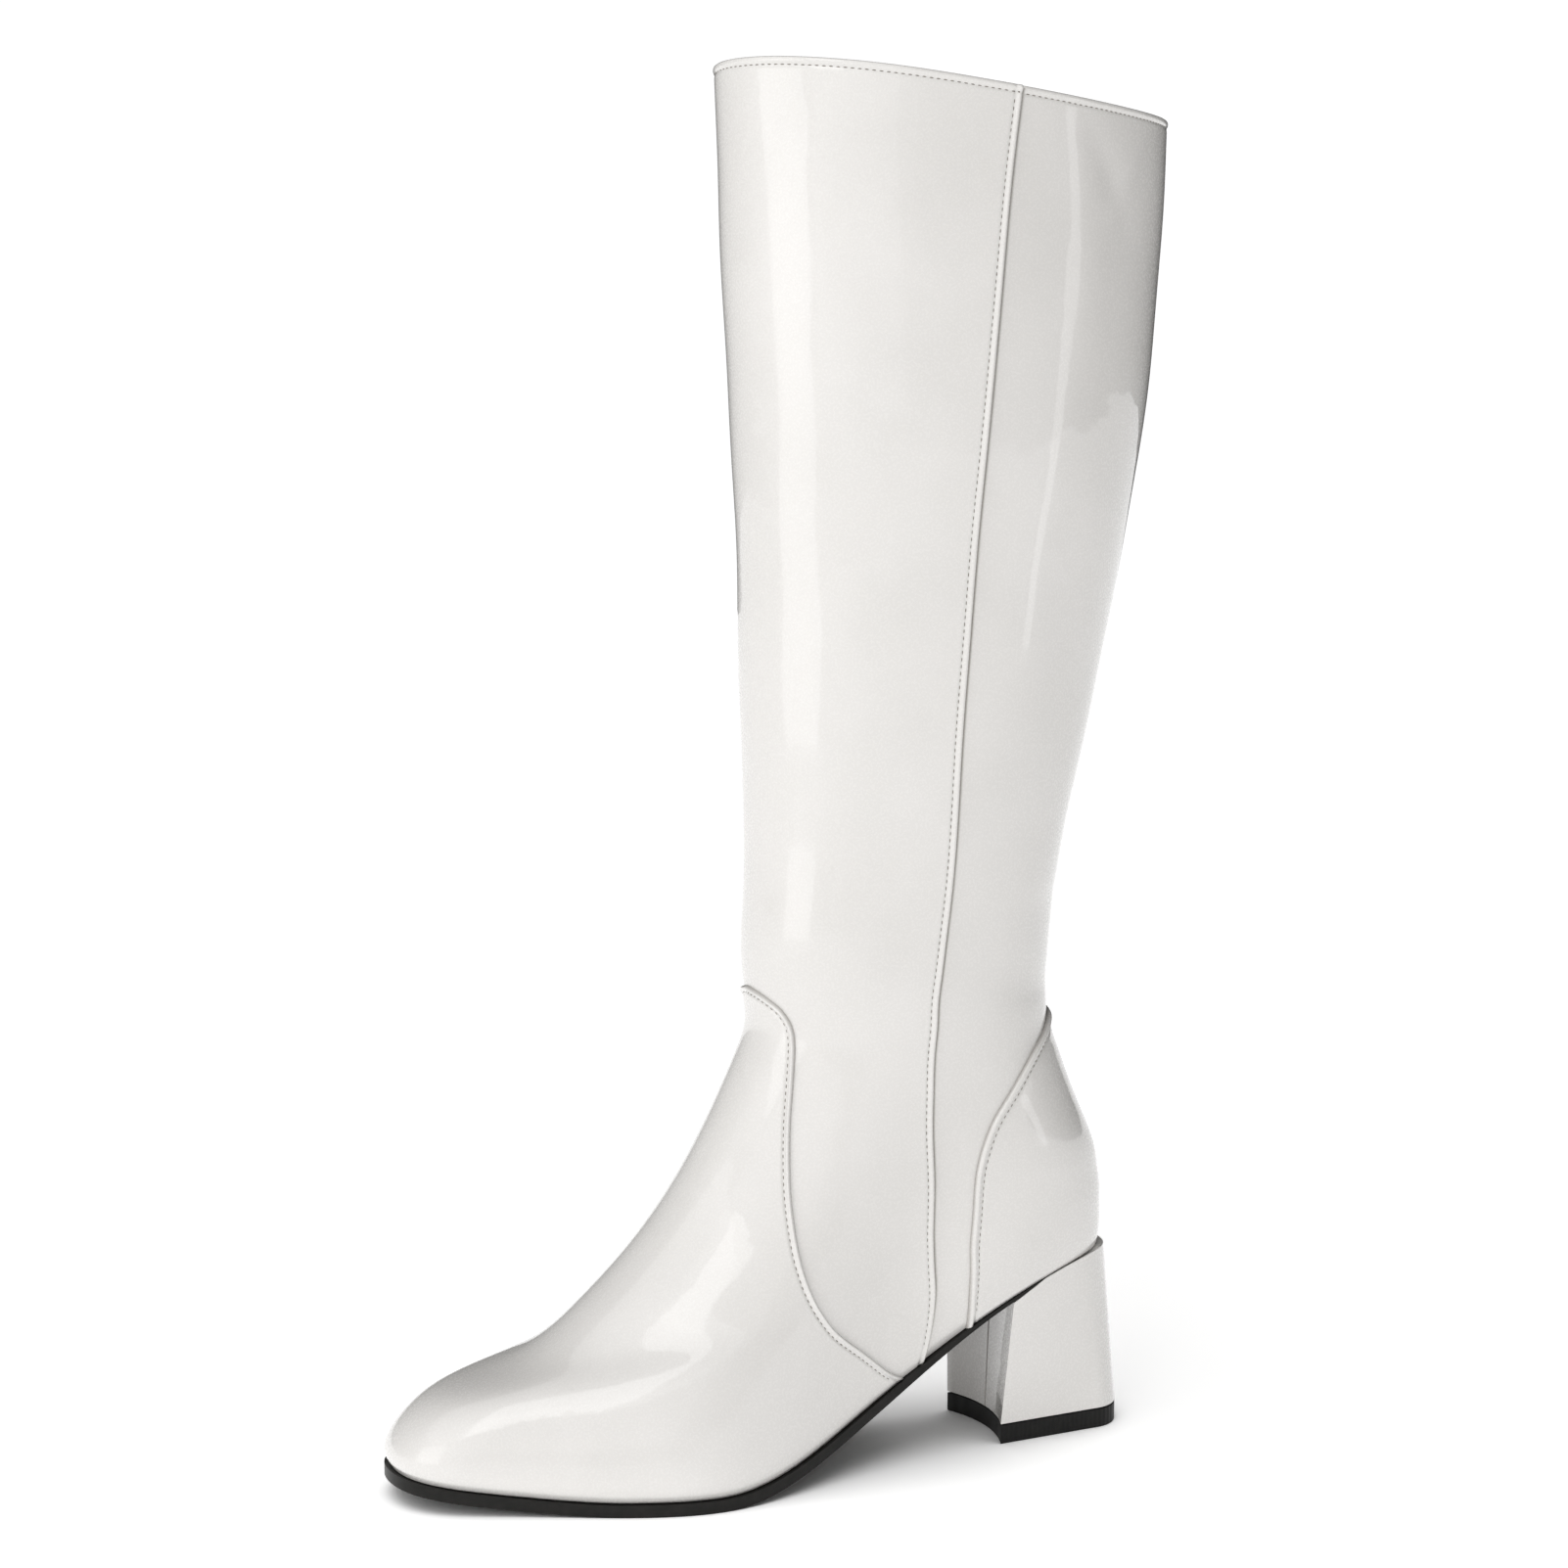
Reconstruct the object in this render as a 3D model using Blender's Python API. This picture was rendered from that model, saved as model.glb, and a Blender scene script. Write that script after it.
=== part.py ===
"""Knee-high go-go boot for the left foot, in patent leather on a flared block heel.

Toe along -Y, outer (lateral) side of the foot on +X, floor at z = 0. Metres.
The upper is one hollow shell. Its surface is a stack of closed sections, from the feather line, where the
upper meets the sole, up to the collar. Every other piece takes its place from the same surface.
"""

import math

import bmesh
import bpy
import numpy as np

# Driving sizes
FOOT_LENGTH = 0.2325      # heel back to toe tip of the upper, level with the floor
BALL_WIDTH = 0.082        # across the ball of the foot, at the feather line
TOE_SPRING = 0.0062       # lift of the sole under the toe tip
SEAT_RISE = 0.0560        # lift of the heel seat above the forefoot
SOLE_THICKNESS = 0.0036
SHANK_THICKNESS = 0.0013   # outsole at the heel's breast
SEAT_EDGE_THICKNESS = 0.0008  # outsole where it runs out on the heel
THINNING_START = 0.0900    # where the outsole starts to thin, forward of the heel back
SOLE_MARGIN = 0.0022       # outsole edge outside the upper's feather line
ANKLE_HEIGHT = 0.146
ANKLE_DEPTH = 0.0984
ANKLE_WIDTH = 0.066
ANKLE_SETBACK = 0.0193    # ankle back forward of the heel back
COLLAR_HEIGHT = 0.4266    # front of the collar
COLLAR_DROP = 0.0118      # back of the collar below its front
COLLAR_DIP = 0.0026       # collar behind its middle below the line from front to back
COLLAR_DEPTH = 0.1467
COLLAR_WIDTH = 0.088
COLLAR_OVERHANG = 0.0198  # collar back behind the heel back
WALL = 0.0018             # upper with its lining
OVERLAY = 0.0008          # vamp and counter leather
GAP = 0.0003              # between pieces that touch
LAP = 0.0009              # front shaft panel over the back one at the side seams
INSOLE_THICKNESS = 0.0020
INSOLE_CLEARANCE = 0.0009
HEEL_FRONT = 0.0394       # breast of the heel forward of the heel back
HEEL_MARGIN = 0.0014       # top edge of the heel outside the upper's feather line
HEEL_TOP_BACK = 0.0020     # top edge of the heel behind the feather line
HEEL_BASE_WIDTH = 0.0370   # at the breast
HEEL_BASE_FRONT = 0.0409   # breast at the floor, forward of the heel back
HEEL_BASE_TAPER = 0.0036   # base narrower on each side at its back
HEEL_BASE_CORNER = 0.0130  # radius of the base's back corners
HEEL_BASE_BACK = 0.0080    # base of the heel behind the heel back
HEEL_SKEW = 0.0019        # inner corner of the breast forward of the outer one
HEEL_HOLLOW = 0.0040      # depth of the curved breast
LIFT_THICKNESS = 0.0061   # black top piece
SOLE_END = 0.0290         # end of the outsole forward of the heel back

# The sole as shares of the foot length, forward from the heel back
FLAT_BACK_SHARE = 0.612
FLAT_FRONT_SHARE = 0.735
SPRING_CURVE = 1.55       # how late the toe spring comes

DIP_PEAK = 27 / 4          # makes the collar's dip whole at two thirds of the way back

# Where the half widths of a foot section are measured, as shares of it from front to back
STATION_SHARES = (0.10, 0.36, 0.62, 0.88)

# The foot part of the upper. front and back are shares of the foot length forward from the heel back,
# front_rise and back_rise shares of the way up from the feather line to the ankle, toe to heel the half
# widths at the stations as shares of the ball width, toe_full and heel_full the bluntness of the ends
# (1 is an ellipse), follow the share of the sole's curve that the section takes.
FOOT_SECTIONS = (
    # front, front_rise, back, back_rise,  toe,  ball, waist, heel, toe_full, heel_full, follow
    (0.989, 0.000, 0.004, 0.000, 0.283, 0.476, 0.308, 0.284, 2.10, 2.05, 1.00),
    (0.994, 0.032, 0.002, 0.068, 0.295, 0.492, 0.330, 0.308, 2.10, 2.05, 0.95),
    (0.987, 0.066, 0.003, 0.150, 0.292, 0.488, 0.344, 0.330, 2.05, 2.00, 0.84),
    (0.973, 0.099, 0.004, 0.225, 0.281, 0.474, 0.354, 0.344, 1.95, 1.95, 0.72),
    (0.941, 0.144, 0.008, 0.295, 0.262, 0.453, 0.359, 0.351, 1.85, 1.90, 0.60),
    (0.882, 0.179, 0.013, 0.370, 0.246, 0.432, 0.362, 0.353, 1.75, 1.85, 0.46),
    (0.808, 0.223, 0.023, 0.450, 0.242, 0.413, 0.368, 0.352, 1.65, 1.75, 0.33),
    (0.738, 0.312, 0.036, 0.532, 0.236, 0.398, 0.374, 0.346, 1.55, 1.65, 0.21),
    (0.674, 0.419, 0.050, 0.615, 0.228, 0.383, 0.377, 0.335, 1.45, 1.55, 0.12),
    (0.618, 0.543, 0.063, 0.698, 0.222, 0.376, 0.379, 0.319, 1.35, 1.42, 0.06),
    (0.568, 0.684, 0.075, 0.785, 0.222, 0.378, 0.382, 0.301, 1.25, 1.30, 0.02),
    (0.517, 0.855, 0.083, 0.885, 0.232, 0.384, 0.388, 0.283, 1.15, 1.20, 0.00),
    (0.502, 0.935, 0.083, 0.950, 0.243, 0.387, 0.391, 0.278, 1.12, 1.13, 0.00),
)

# The shaft, from the ankle to the collar: shares of the way from the ankle's sizes to the collar's
SHAFT_SECTIONS = (
    # rise, front, back, width, full
    (0.00, 0.00, 0.000, 0.00, 1.08),
    (0.12, 0.03, 0.080, 0.14, 1.05),
    (0.30, 0.13, 0.336, 0.45, 1.02),
    (0.47, 0.25, 0.590, 0.73, 1.00),
    (0.63, 0.49, 0.797, 0.91, 1.00),
    (0.82, 0.79, 0.938, 1.00, 1.00),
    (1.00, 1.00, 1.000, 1.00, 1.00),
)

# Sideways swing of the last's centre line, towards the outer side, as shares of the ball width
CENTRE_LINE = (
    # forward, swing
    (0.00, 0.000),
    (0.12, 0.000),
    (0.38, 0.030),
    (0.62, 0.033),
    (0.72, 0.007),
    (0.82, -0.015),
    (0.92, -0.032),
    (1.00, -0.043),
)


def natural_spline(xs, ys):
    """A smooth curve through the rows of ys at xs, as a function of an array of x."""
    xs = np.asarray(xs, float)
    ys = np.asarray(ys, float).reshape(len(xs), -1)
    step = np.diff(xs)
    slope = np.diff(ys, axis=0) / step[:, None]
    system = np.eye(len(xs))
    right = np.zeros_like(ys)
    for i in range(1, len(xs) - 1):
        system[i, i - 1:i + 2] = step[i - 1], 2 * (step[i - 1] + step[i]), step[i]
        right[i] = 6 * (slope[i] - slope[i - 1])
    bend = np.linalg.solve(system, right)

    def at(x):
        x = np.asarray(x, float)
        i = np.clip(np.searchsorted(xs, x) - 1, 0, len(step) - 1)
        h = step[i][..., None]
        a = (xs[i + 1] - x)[..., None] / h
        b = 1 - a
        return (a * ys[i] + b * ys[i + 1]
                + ((a**3 - a) * bend[i] + (b**3 - b) * bend[i + 1]) * h**2 / 6)

    return at


def smooth_step(t):
    t = np.clip(t, 0.0, 1.0)
    return t * t * (3 - 2 * t)


def sole_bottom(forward):
    """Height of the outsole's underside at a share of the foot length forward from the heel back."""
    spring = np.clip((forward - FLAT_FRONT_SHARE) / (1 - FLAT_FRONT_SHARE), 0.0, 2.0)
    return TOE_SPRING * spring**SPRING_CURVE + SEAT_RISE * smooth_step(1 - forward / FLAT_BACK_SHARE)


def sole_top(forward):
    """Height of the feather line, on top of a forefoot sole of full thickness."""
    return sole_bottom(forward) + SOLE_THICKNESS


swing = natural_spline(*zip(*CENTRE_LINE))


def bluntness(share, full):
    """Half width of an end-rounded outline at a share of its length, 1 in the middle."""
    turn = np.sqrt(np.clip(4 * share * (1 - share), 0.0, 1.0))
    return 1 - (1 - turn)**full


def section_rows():
    """Each section as its front and back points, its width controls, end fullnesses, follow and dip."""
    toe_base = sole_top(FOOT_SECTIONS[0][0]) + GAP
    seat_base = sole_top(FOOT_SECTIONS[0][2]) + GAP
    rows = []
    for (front, front_rise, back, back_rise, toe, ball, waist, heel,
         toe_full, heel_full, follow) in FOOT_SECTIONS:
        widths = []
        for share, width in zip(STATION_SHARES, (toe, ball, waist, heel)):
            full = toe_full + (heel_full - toe_full) * share
            widths.append(width * BALL_WIDTH / bluntness(share, full))
        rows.append((-front * FOOT_LENGTH, toe_base + front_rise * (ANKLE_HEIGHT - toe_base),
                     -back * FOOT_LENGTH, seat_base + back_rise * (ANKLE_HEIGHT - seat_base),
                     *widths, toe_full, heel_full, follow, 0.0))
    for rise, front, back, width, full in SHAFT_SECTIONS:
        ankle_front = -ANKLE_SETBACK - ANKLE_DEPTH
        collar_front = COLLAR_OVERHANG - COLLAR_DEPTH
        half = (ANKLE_WIDTH + (COLLAR_WIDTH - ANKLE_WIDTH) * width) / 2
        rows.append((ankle_front + (collar_front - ankle_front) * front,
                     ANKLE_HEIGHT + (COLLAR_HEIGHT - ANKLE_HEIGHT) * rise,
                     -ANKLE_SETBACK + (COLLAR_OVERHANG + ANKLE_SETBACK) * back,
                     ANKLE_HEIGHT + (COLLAR_HEIGHT - COLLAR_DROP - ANKLE_HEIGHT) * rise,
                     half, half, half, half, full, full, 0.0, COLLAR_DIP * rise))
    return np.array(rows)


SECTIONS = section_rows()
STEPS = (np.hypot(np.diff(SECTIONS[:, 0]), np.diff(SECTIONS[:, 1]))
         + np.hypot(np.diff(SECTIONS[:, 2]), np.diff(SECTIONS[:, 3])))
LEVELS = np.concatenate(([0.0], np.cumsum(STEPS))) / STEPS.sum()
section_at = natural_spline(LEVELS, SECTIONS)
width_weights = natural_spline((0.0, *STATION_SHARES, 1.0), np.eye(6))


def surface(turn, rise):
    """Points of the upper's outer face. turn goes round a section, 0 at the toe's middle, 0.25 on the
    outer side, 0.5 at the heel. rise goes from 0 at the feather line to 1 at the collar."""
    turn, rise = np.broadcast_arrays(np.asarray(turn, float), np.asarray(rise, float))
    row = section_at(rise)
    front_y, front_z, back_y, back_z = (row[..., i] for i in range(4))
    widths = row[..., [4, 4, 5, 6, 7, 7]]
    share = (1 - np.cos(2 * math.pi * turn)) / 2
    full = row[..., 8] + (row[..., 9] - row[..., 8]) * share
    side = np.sin(2 * math.pi * turn)
    half = (widths * width_weights(share)).sum(-1) * (1 - (1 - np.abs(side))**full)
    y = front_y + (back_y - front_y) * share
    forward = -y / FOOT_LENGTH
    follow = row[..., 10]
    ends = sole_top(-front_y / FOOT_LENGTH), sole_top(-back_y / FOOT_LENGTH)
    chord = ends[0] + (ends[1] - ends[0]) * share
    z = front_z + (back_z - front_z) * share + follow * (sole_top(forward) - chord)
    z = z - row[..., 11] * DIP_PEAK * share**2 * (1 - share)
    x = np.sign(side) * half + swing(forward)[..., 0] * BALL_WIDTH * follow
    return np.stack((x, y, z), -1)


# Side seam: where the front shaft panel ends, from the feather line to the collar
SIDE_SEAM = (
    # rise, turn
    (0.00, 0.315),
    (0.03, 0.317),
    (0.06, 0.313),
    (0.11, 0.300),
    (0.17, 0.286),
    (0.23, 0.270),
    (0.26, 0.262),
    (0.29, 0.252),
    (0.32, 0.246),
    (0.35, 0.252),
    (0.38, 0.255),
    (0.44, 0.253),
    (0.51, 0.248),
    (0.60, 0.243),
    (0.70, 0.241),
    (0.80, 0.245),
    (0.90, 0.251),
    (1.00, 0.261),
)

# Vamp seam: from the front of the ankle down to the feather line
VAMP_SEAM = (
    # turn, rise
    (0.000, 0.340),
    (0.030, 0.338),
    (0.055, 0.334),
    (0.072, 0.329),
    (0.084, 0.321),
    (0.093, 0.310),
    (0.110, 0.289),
    (0.127, 0.266),
    (0.144, 0.242),
    (0.162, 0.215),
    (0.182, 0.185),
    (0.203, 0.152),
    (0.230, 0.110),
    (0.260, 0.064),
    (0.285, 0.030),
    (0.304, 0.000),
)

# Counter seam: from the back of the ankle down to the feather line
COUNTER_SEAM = (
    # turn, rise
    (0.500, 0.305),
    (0.470, 0.303),
    (0.440, 0.298),
    (0.415, 0.289),
    (0.388, 0.275),
    (0.363, 0.255),
    (0.342, 0.231),
    (0.327, 0.209),
    (0.320, 0.180),
    (0.320, 0.145),
    (0.327, 0.095),
    (0.335, 0.041),
    (0.338, 0.000),
)

side_seam = natural_spline(*zip(*SIDE_SEAM))

# Turns round a section, from the toe's middle
OUTER_SIDE = 1 / 4
HEEL_MIDDLE = 1 / 2

# How finely the upper is cut: columns round a half section in front of and behind the side seam, rows
FRONT_COLUMNS = 13
BACK_COLUMNS = 12
FOOT_ROWS = 17
SHAFT_ROWS = 11
SEAM_STEP_SHARE = 0.0014        # width of the lap's step, as a share of the way round
LAP_REACH_SHARE = 0.035         # how far in front of the seam the lap fades, as a share of the way round
FOOT_TOP_SHARE = 0.36           # rise of the highest row that the vamp and counter need
EDGE_FADE_SHARE = 0.03          # rise over which an offset turns level, towards the feather line
NUDGE_SHARE = 0.002             # step for the slope of the surface
LOW_ROWS_SHARE = 0.45           # how much closer together the lowest rows are
SEAM_POINTS = 48
SOLE_COLUMNS = 33
HEEL_COLUMNS = 18
BREAST_COLUMNS = 6
HEEL_ROWS = 4
CUTTER_MARGIN = 0.004     # how far a cutter reaches past what it cuts
SHARP_ANGLE = 40.0        # degrees


def normal(turn, rise):
    """Unit normal of the outer face, pointing out of the boot."""
    turn, rise = np.broadcast_arrays(np.asarray(turn, float), np.asarray(rise, float))
    low = np.clip(rise - NUDGE_SHARE, 0, 1)
    high = np.clip(rise + NUDGE_SHARE, 0, 1)
    along = surface(turn + NUDGE_SHARE, rise) - surface(turn - NUDGE_SHARE, rise)
    up = surface(turn, high) - surface(turn, low)
    out = np.cross(along, up)
    out[..., 2] *= smooth_step(rise / EDGE_FADE_SHARE)
    return out / np.linalg.norm(out, axis=-1, keepdims=True)


def seam_turn(column, rise):
    """Turn of a column, warped so that columns 0.25 and 0.75 run along the side seams."""
    shift = side_seam(rise)[..., 0] - OUTER_SIDE
    around = np.sin(2 * math.pi * column)
    return column + shift * around * np.abs(around)


def lap_height(column):
    """Height of the front panel over the wall: full at the seam, none behind it, fading in front."""
    ahead = OUTER_SIDE - np.minimum(column, 1 - column)
    return LAP * np.where(ahead >= -SEAM_STEP_SHARE / 10, np.exp(-np.abs(ahead) / LAP_REACH_SHARE), 0.0)


def skin(column, rise, out, lap=True):
    """Points at a distance out from the outer face, on the lapped panels or on the plain wall."""
    column, rise = np.broadcast_arrays(np.asarray(column, float), np.asarray(rise, float))
    turn = seam_turn(column, rise)
    distance = out + (lap_height(column) if lap else 0.0)
    return surface(turn, rise) + normal(turn, rise) * np.asarray(distance)[..., None]


def columns():
    """Columns round a section, with a pair at each side seam for the lap's step."""
    ahead = np.linspace(0.0, OUTER_SIDE, FRONT_COLUMNS)
    behind = np.linspace(OUTER_SIDE + SEAM_STEP_SHARE, HEEL_MIDDLE, BACK_COLUMNS)
    half = np.concatenate((ahead, behind))
    return np.concatenate((half, 1 - half[-2:0:-1]))


# The pieces


def remove_everything():
    for old in list(bpy.data.objects):
        bpy.data.objects.remove(old, do_unlink=True)


def new_collection(name, hidden=False):
    made = bpy.data.collections.new(name)
    made.hide_render = hidden
    bpy.context.scene.collection.children.link(made)
    return made


def material(name, colour, roughness, coat=0.0):
    made = bpy.data.materials.new(name)
    made.use_nodes = True
    shader = made.node_tree.nodes["Principled BSDF"]
    shader.inputs["Base Color"].default_value = (*colour, 1.0)
    shader.inputs["Roughness"].default_value = roughness
    shader.inputs["Metallic"].default_value = 0.0
    shader.inputs["Coat Weight"].default_value = coat
    return made


def loft(name, rings, capped, first_strip=1):
    """One closed solid through rings with equal numbers of points, given in order.
    Capped, the end rings are filled in strips from side to side, for rings that start at their front
    middle; the points up to first_strip on both sides share one face, as behind a hollow front.
    Not capped, the last ring joins the first, which makes the wall of a shell: its first half is the
    outer face, and both faces are split along the same diagonals."""
    bm = bmesh.new()
    rows = [[bm.verts.new(point) for point in ring] for ring in rings]
    count = len(rows[0])
    following = rows[1:] if capped else rows[1:] + rows[:1]
    for step, (low, high) in enumerate(zip(rows, following)):
        inward = not capped and step >= len(rows) // 2
        for i in range(count):
            j = (i + 1) % count
            if inward:
                bm.faces.new((low[i], low[j], high[i]))
                bm.faces.new((low[j], high[j], high[i]))
            else:
                bm.faces.new((low[i], low[j], high[j]))
                bm.faces.new((low[i], high[j], high[i]))
    if capped:
        for row in (rows[0], rows[-1]):
            bm.faces.new([row[i] for i in range(-first_strip, first_strip + 1)])
            for i in range(first_strip, count // 2):
                strip = [row[i], row[i + 1], row[-i - 1], row[-i]]
                bm.faces.new(list(dict.fromkeys(strip)))
    bmesh.ops.recalc_face_normals(bm, faces=bm.faces)
    mesh = bpy.data.meshes.new(name)
    bm.to_mesh(mesh)
    bm.free()
    return bpy.data.objects.new(name, mesh)


def place(piece, collection, root, finish):
    """A finished piece: in its collection, under the boot's root, with its material and smooth faces."""
    collection.objects.link(piece)
    piece.parent = root
    piece.data.materials.append(finish)
    piece.data.shade_smooth()
    piece.data.set_sharp_from_angle(angle=math.radians(SHARP_ANGLE))
    return piece


def cut(piece, operation, cutter, cutters):
    """A Boolean on a piece, with a cutter that only shows as wire."""
    cutters.objects.link(cutter)
    cutter.hide_render = True
    cutter.display_type = "WIRE"
    cutter.parent = piece.parent
    made = piece.modifiers.new(operation.title(), "BOOLEAN")
    made.operation = operation
    made.object = cutter


def shell_rings(rises, inner, outer):
    """Rings of a wall between two distances from the upper's outer face."""
    around = columns()
    outside = [skin(around, rise, outer) for rise in rises]
    inside = [skin(around, rise, inner, lap=inner > 0) for rise in reversed(rises)]
    return outside + inside


def foot_rises():
    """Rows of the foot, closer together near the feather line."""
    share = np.linspace(0.0, 1.0, FOOT_ROWS)
    return list(FOOT_TOP_SHARE * (share + LOW_ROWS_SHARE * (share**2 - share)))


def upper():
    shaft = list(np.linspace(FOOT_TOP_SHARE, 1.0, SHAFT_ROWS + 1)[1:])
    return loft("upper", shell_rings(foot_rises() + shaft, -WALL, 0.0), capped=False)


def side_outline(seam, beyond):
    """A seam seen from the side, as (y, z), closed by the points beyond."""
    turn, rise = np.array(seam).T
    share = np.linspace(0.0, 1.0, len(seam))
    fine = np.linspace(0.0, 1.0, SEAM_POINTS)
    path = natural_spline(share, np.stack((turn, rise), -1))(fine)
    points = surface(path[:, 0], path[:, 1] * (path[:, 1] > 0))
    return [tuple(point[1:]) for point in points] + beyond


def overlay(name, seam, beyond):
    """Leather over the upper, from the feather line to its seam: a wider form cut by the seam's outline."""
    form = loft(name, shell_rings(foot_rises(), GAP, GAP + OVERLAY), capped=False)
    outline = side_outline(seam, beyond)
    rings = [[(x, y, z) for y, z in outline] for x in (-BALL_WIDTH, BALL_WIDTH)]
    return form, prism(name + "_cutter", rings)


def prism(name, rings):
    """A solid between two flat outlines of the same shape."""
    bm = bmesh.new()
    face = bm.faces.new([bm.verts.new(point) for point in rings[0]])
    moved = bmesh.ops.extrude_face_region(bm, geom=[face])
    verts = [item for item in moved["geom"] if isinstance(item, bmesh.types.BMVert)]
    bmesh.ops.translate(bm, verts=verts, vec=(rings[1][0][0] - rings[0][0][0], 0.0, 0.0))
    bmesh.ops.recalc_face_normals(bm, faces=bm.faces)
    mesh = bpy.data.meshes.new(name)
    bm.to_mesh(mesh)
    bm.free()
    return bpy.data.objects.new(name, mesh)


def feather_turn(forward):
    """Turn at which the feather line is at a distance forward of the heel back, on the outer side."""
    front, back = SECTIONS[0, 0], SECTIONS[0, 2]
    return math.acos(1 - 2 * (-forward - front) / (back - front)) / (2 * math.pi)


def feather_ring(turns, out, end_points=0):
    """Points outside or inside the feather line, round both sides. With end points, the ring stops at the
    last turn and a straight edge joins its two ends."""
    side = surface(turns, 0.0) + normal(turns, 0.0) * out
    other = surface(1 - turns, 0.0) + normal(1 - turns, 0.0) * out
    if not end_points:
        return np.concatenate((side, other[-2:0:-1]))
    share = np.linspace(0.0, 1.0, end_points + 2)[1:-1, None]
    edge = side[-1] + (other[-1] - side[-1]) * share
    return np.concatenate((side, edge, other[:0:-1]))


def with_height(ring, height):
    made = ring.copy()
    made[:, 2] = height
    return made


def sole_thickness(y):
    """Thickness of the outsole, which thins through the shank and runs out behind the heel's breast."""
    shank = smooth_step((y + THINNING_START) / (THINNING_START - HEEL_FRONT))
    tail = smooth_step((y + HEEL_FRONT) / (HEEL_FRONT - SOLE_END))
    return (SOLE_THICKNESS - (SOLE_THICKNESS - SHANK_THICKNESS) * shank
            - (SHANK_THICKNESS - SEAT_EDGE_THICKNESS) * tail)


def outsole_rings(out, end, below, above):
    turns = np.linspace(0.0, feather_turn(end), SOLE_COLUMNS)
    ring = feather_ring(turns, out, end_points=1)
    forward = -ring[:, 1] / FOOT_LENGTH
    bottom = sole_top(forward) - sole_thickness(ring[:, 1])
    return [with_height(ring, bottom - below), with_height(ring, sole_top(forward) + above)]


def outsole():
    return loft("outsole", outsole_rings(SOLE_MARGIN, SOLE_END, 0.0, 0.0), capped=True)


def insole():
    turns = np.linspace(0.0, HEEL_MIDDLE, SOLE_COLUMNS)
    ring = feather_ring(turns, -WALL - INSOLE_CLEARANCE)
    floor = sole_top(-ring[:, 1] / FOOT_LENGTH) + GAP
    rings = [with_height(ring, floor), with_height(ring, floor + INSOLE_THICKNESS)]
    return loft("insole", rings, capped=True)


def heel_base_ring():
    """Outline of the heel at the floor: a curved breast, sides that draw in and round back corners."""
    half = HEEL_BASE_WIDTH / 2
    narrow = half - HEEL_BASE_TAPER
    length = HEEL_BASE_BACK - HEEL_BASE_CORNER + HEEL_BASE_FRONT
    corners = HEEL_COLUMNS // 2 + 1
    breast = np.linspace(0.0, 1.0, BREAST_COLUMNS)[:-1]
    side = np.linspace(0.0, 1.0, HEEL_COLUMNS - corners + 1)[:-1]
    turn = np.linspace(0.0, math.pi / 2, corners)
    flat = (narrow - HEEL_BASE_CORNER) * (1 - np.sin(turn)**4)
    x = np.concatenate((half * breast, half - HEEL_BASE_TAPER * side, flat + HEEL_BASE_CORNER * np.cos(turn)))
    y = -HEEL_BASE_FRONT + np.concatenate((HEEL_HOLLOW * (1 - breast**2), length * side,
                                      length + HEEL_BASE_CORNER * np.sin(turn)))
    return close_ring(x, y)


def close_ring(x, y):
    """A ring from one half's points, front middle to back middle, with its inner front corner forward."""
    ring = np.stack((np.concatenate((x, -x[-2:0:-1])), np.concatenate((y, y[-2:0:-1]))), -1)
    lean = HEEL_SKEW * ring[:, 0] / HEEL_BASE_WIDTH * np.clip(-ring[:, 1] / HEEL_BASE_FRONT, 0.0, 1.0)
    return np.stack((ring[:, 0], ring[:, 1] + lean, np.zeros(len(ring))), -1)


def heel_top_ring():
    """Outline of the heel under the seat: the feather line with the same curved breast."""
    turns = np.linspace(feather_turn(HEEL_FRONT), HEEL_MIDDLE, HEEL_COLUMNS)
    side = surface(turns, 0.0) + normal(turns, 0.0) * HEEL_MARGIN
    other = surface(1 - turns, 0.0) + normal(1 - turns, 0.0) * HEEL_MARGIN
    breast = np.linspace(0.0, 1.0, BREAST_COLUMNS)[:-1, None]
    middle = (side[0] + other[0]) / 2
    hollow = np.array((0.0, HEEL_HOLLOW, 0.0)) * (1 - breast**2)
    ring = np.concatenate((middle + (side[0] - middle) * breast + hollow, side,
                           other[-2::-1], (middle + (other[0] - middle) * breast + hollow)[:0:-1]))
    reach = smooth_step(1 + ring[:, 1] / HEEL_FRONT)
    ring[:, 1] += HEEL_TOP_BACK * reach
    return ring


def heel():
    base = with_height(heel_base_ring(), LIFT_THICKNESS + GAP)
    top = heel_top_ring()
    top = with_height(top, sole_top(np.clip(-top[:, 1], 0.0, None) / FOOT_LENGTH))
    rings = [base + (top - base) * level for level in np.linspace(0.0, 1.0, HEEL_ROWS)]
    body = loft("heel", rings, capped=True, first_strip=BREAST_COLUMNS)
    tail = loft("heel_cutter", outsole_rings(SOLE_MARGIN + CUTTER_MARGIN, SOLE_END - GAP, GAP, CUTTER_MARGIN),
                capped=True)
    return body, tail


def heel_top_piece():
    base = heel_base_ring()
    rings = [with_height(base, 0.0), with_height(base, LIFT_THICKNESS)]
    return loft("heel_top_piece", rings, capped=True, first_strip=BREAST_COLUMNS)


def stand_on_origin(boot, root):
    """Puts the origin under the middle of the boot, on the floor."""
    points = [vert.co for piece in boot.objects if piece.type == "MESH" for vert in piece.data.vertices]
    low = np.min(points, axis=0)
    high = np.max(points, axis=0)
    root.location = (-(low[0] + high[0]) / 2, -(low[1] + high[1]) / 2, -low[2])


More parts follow.
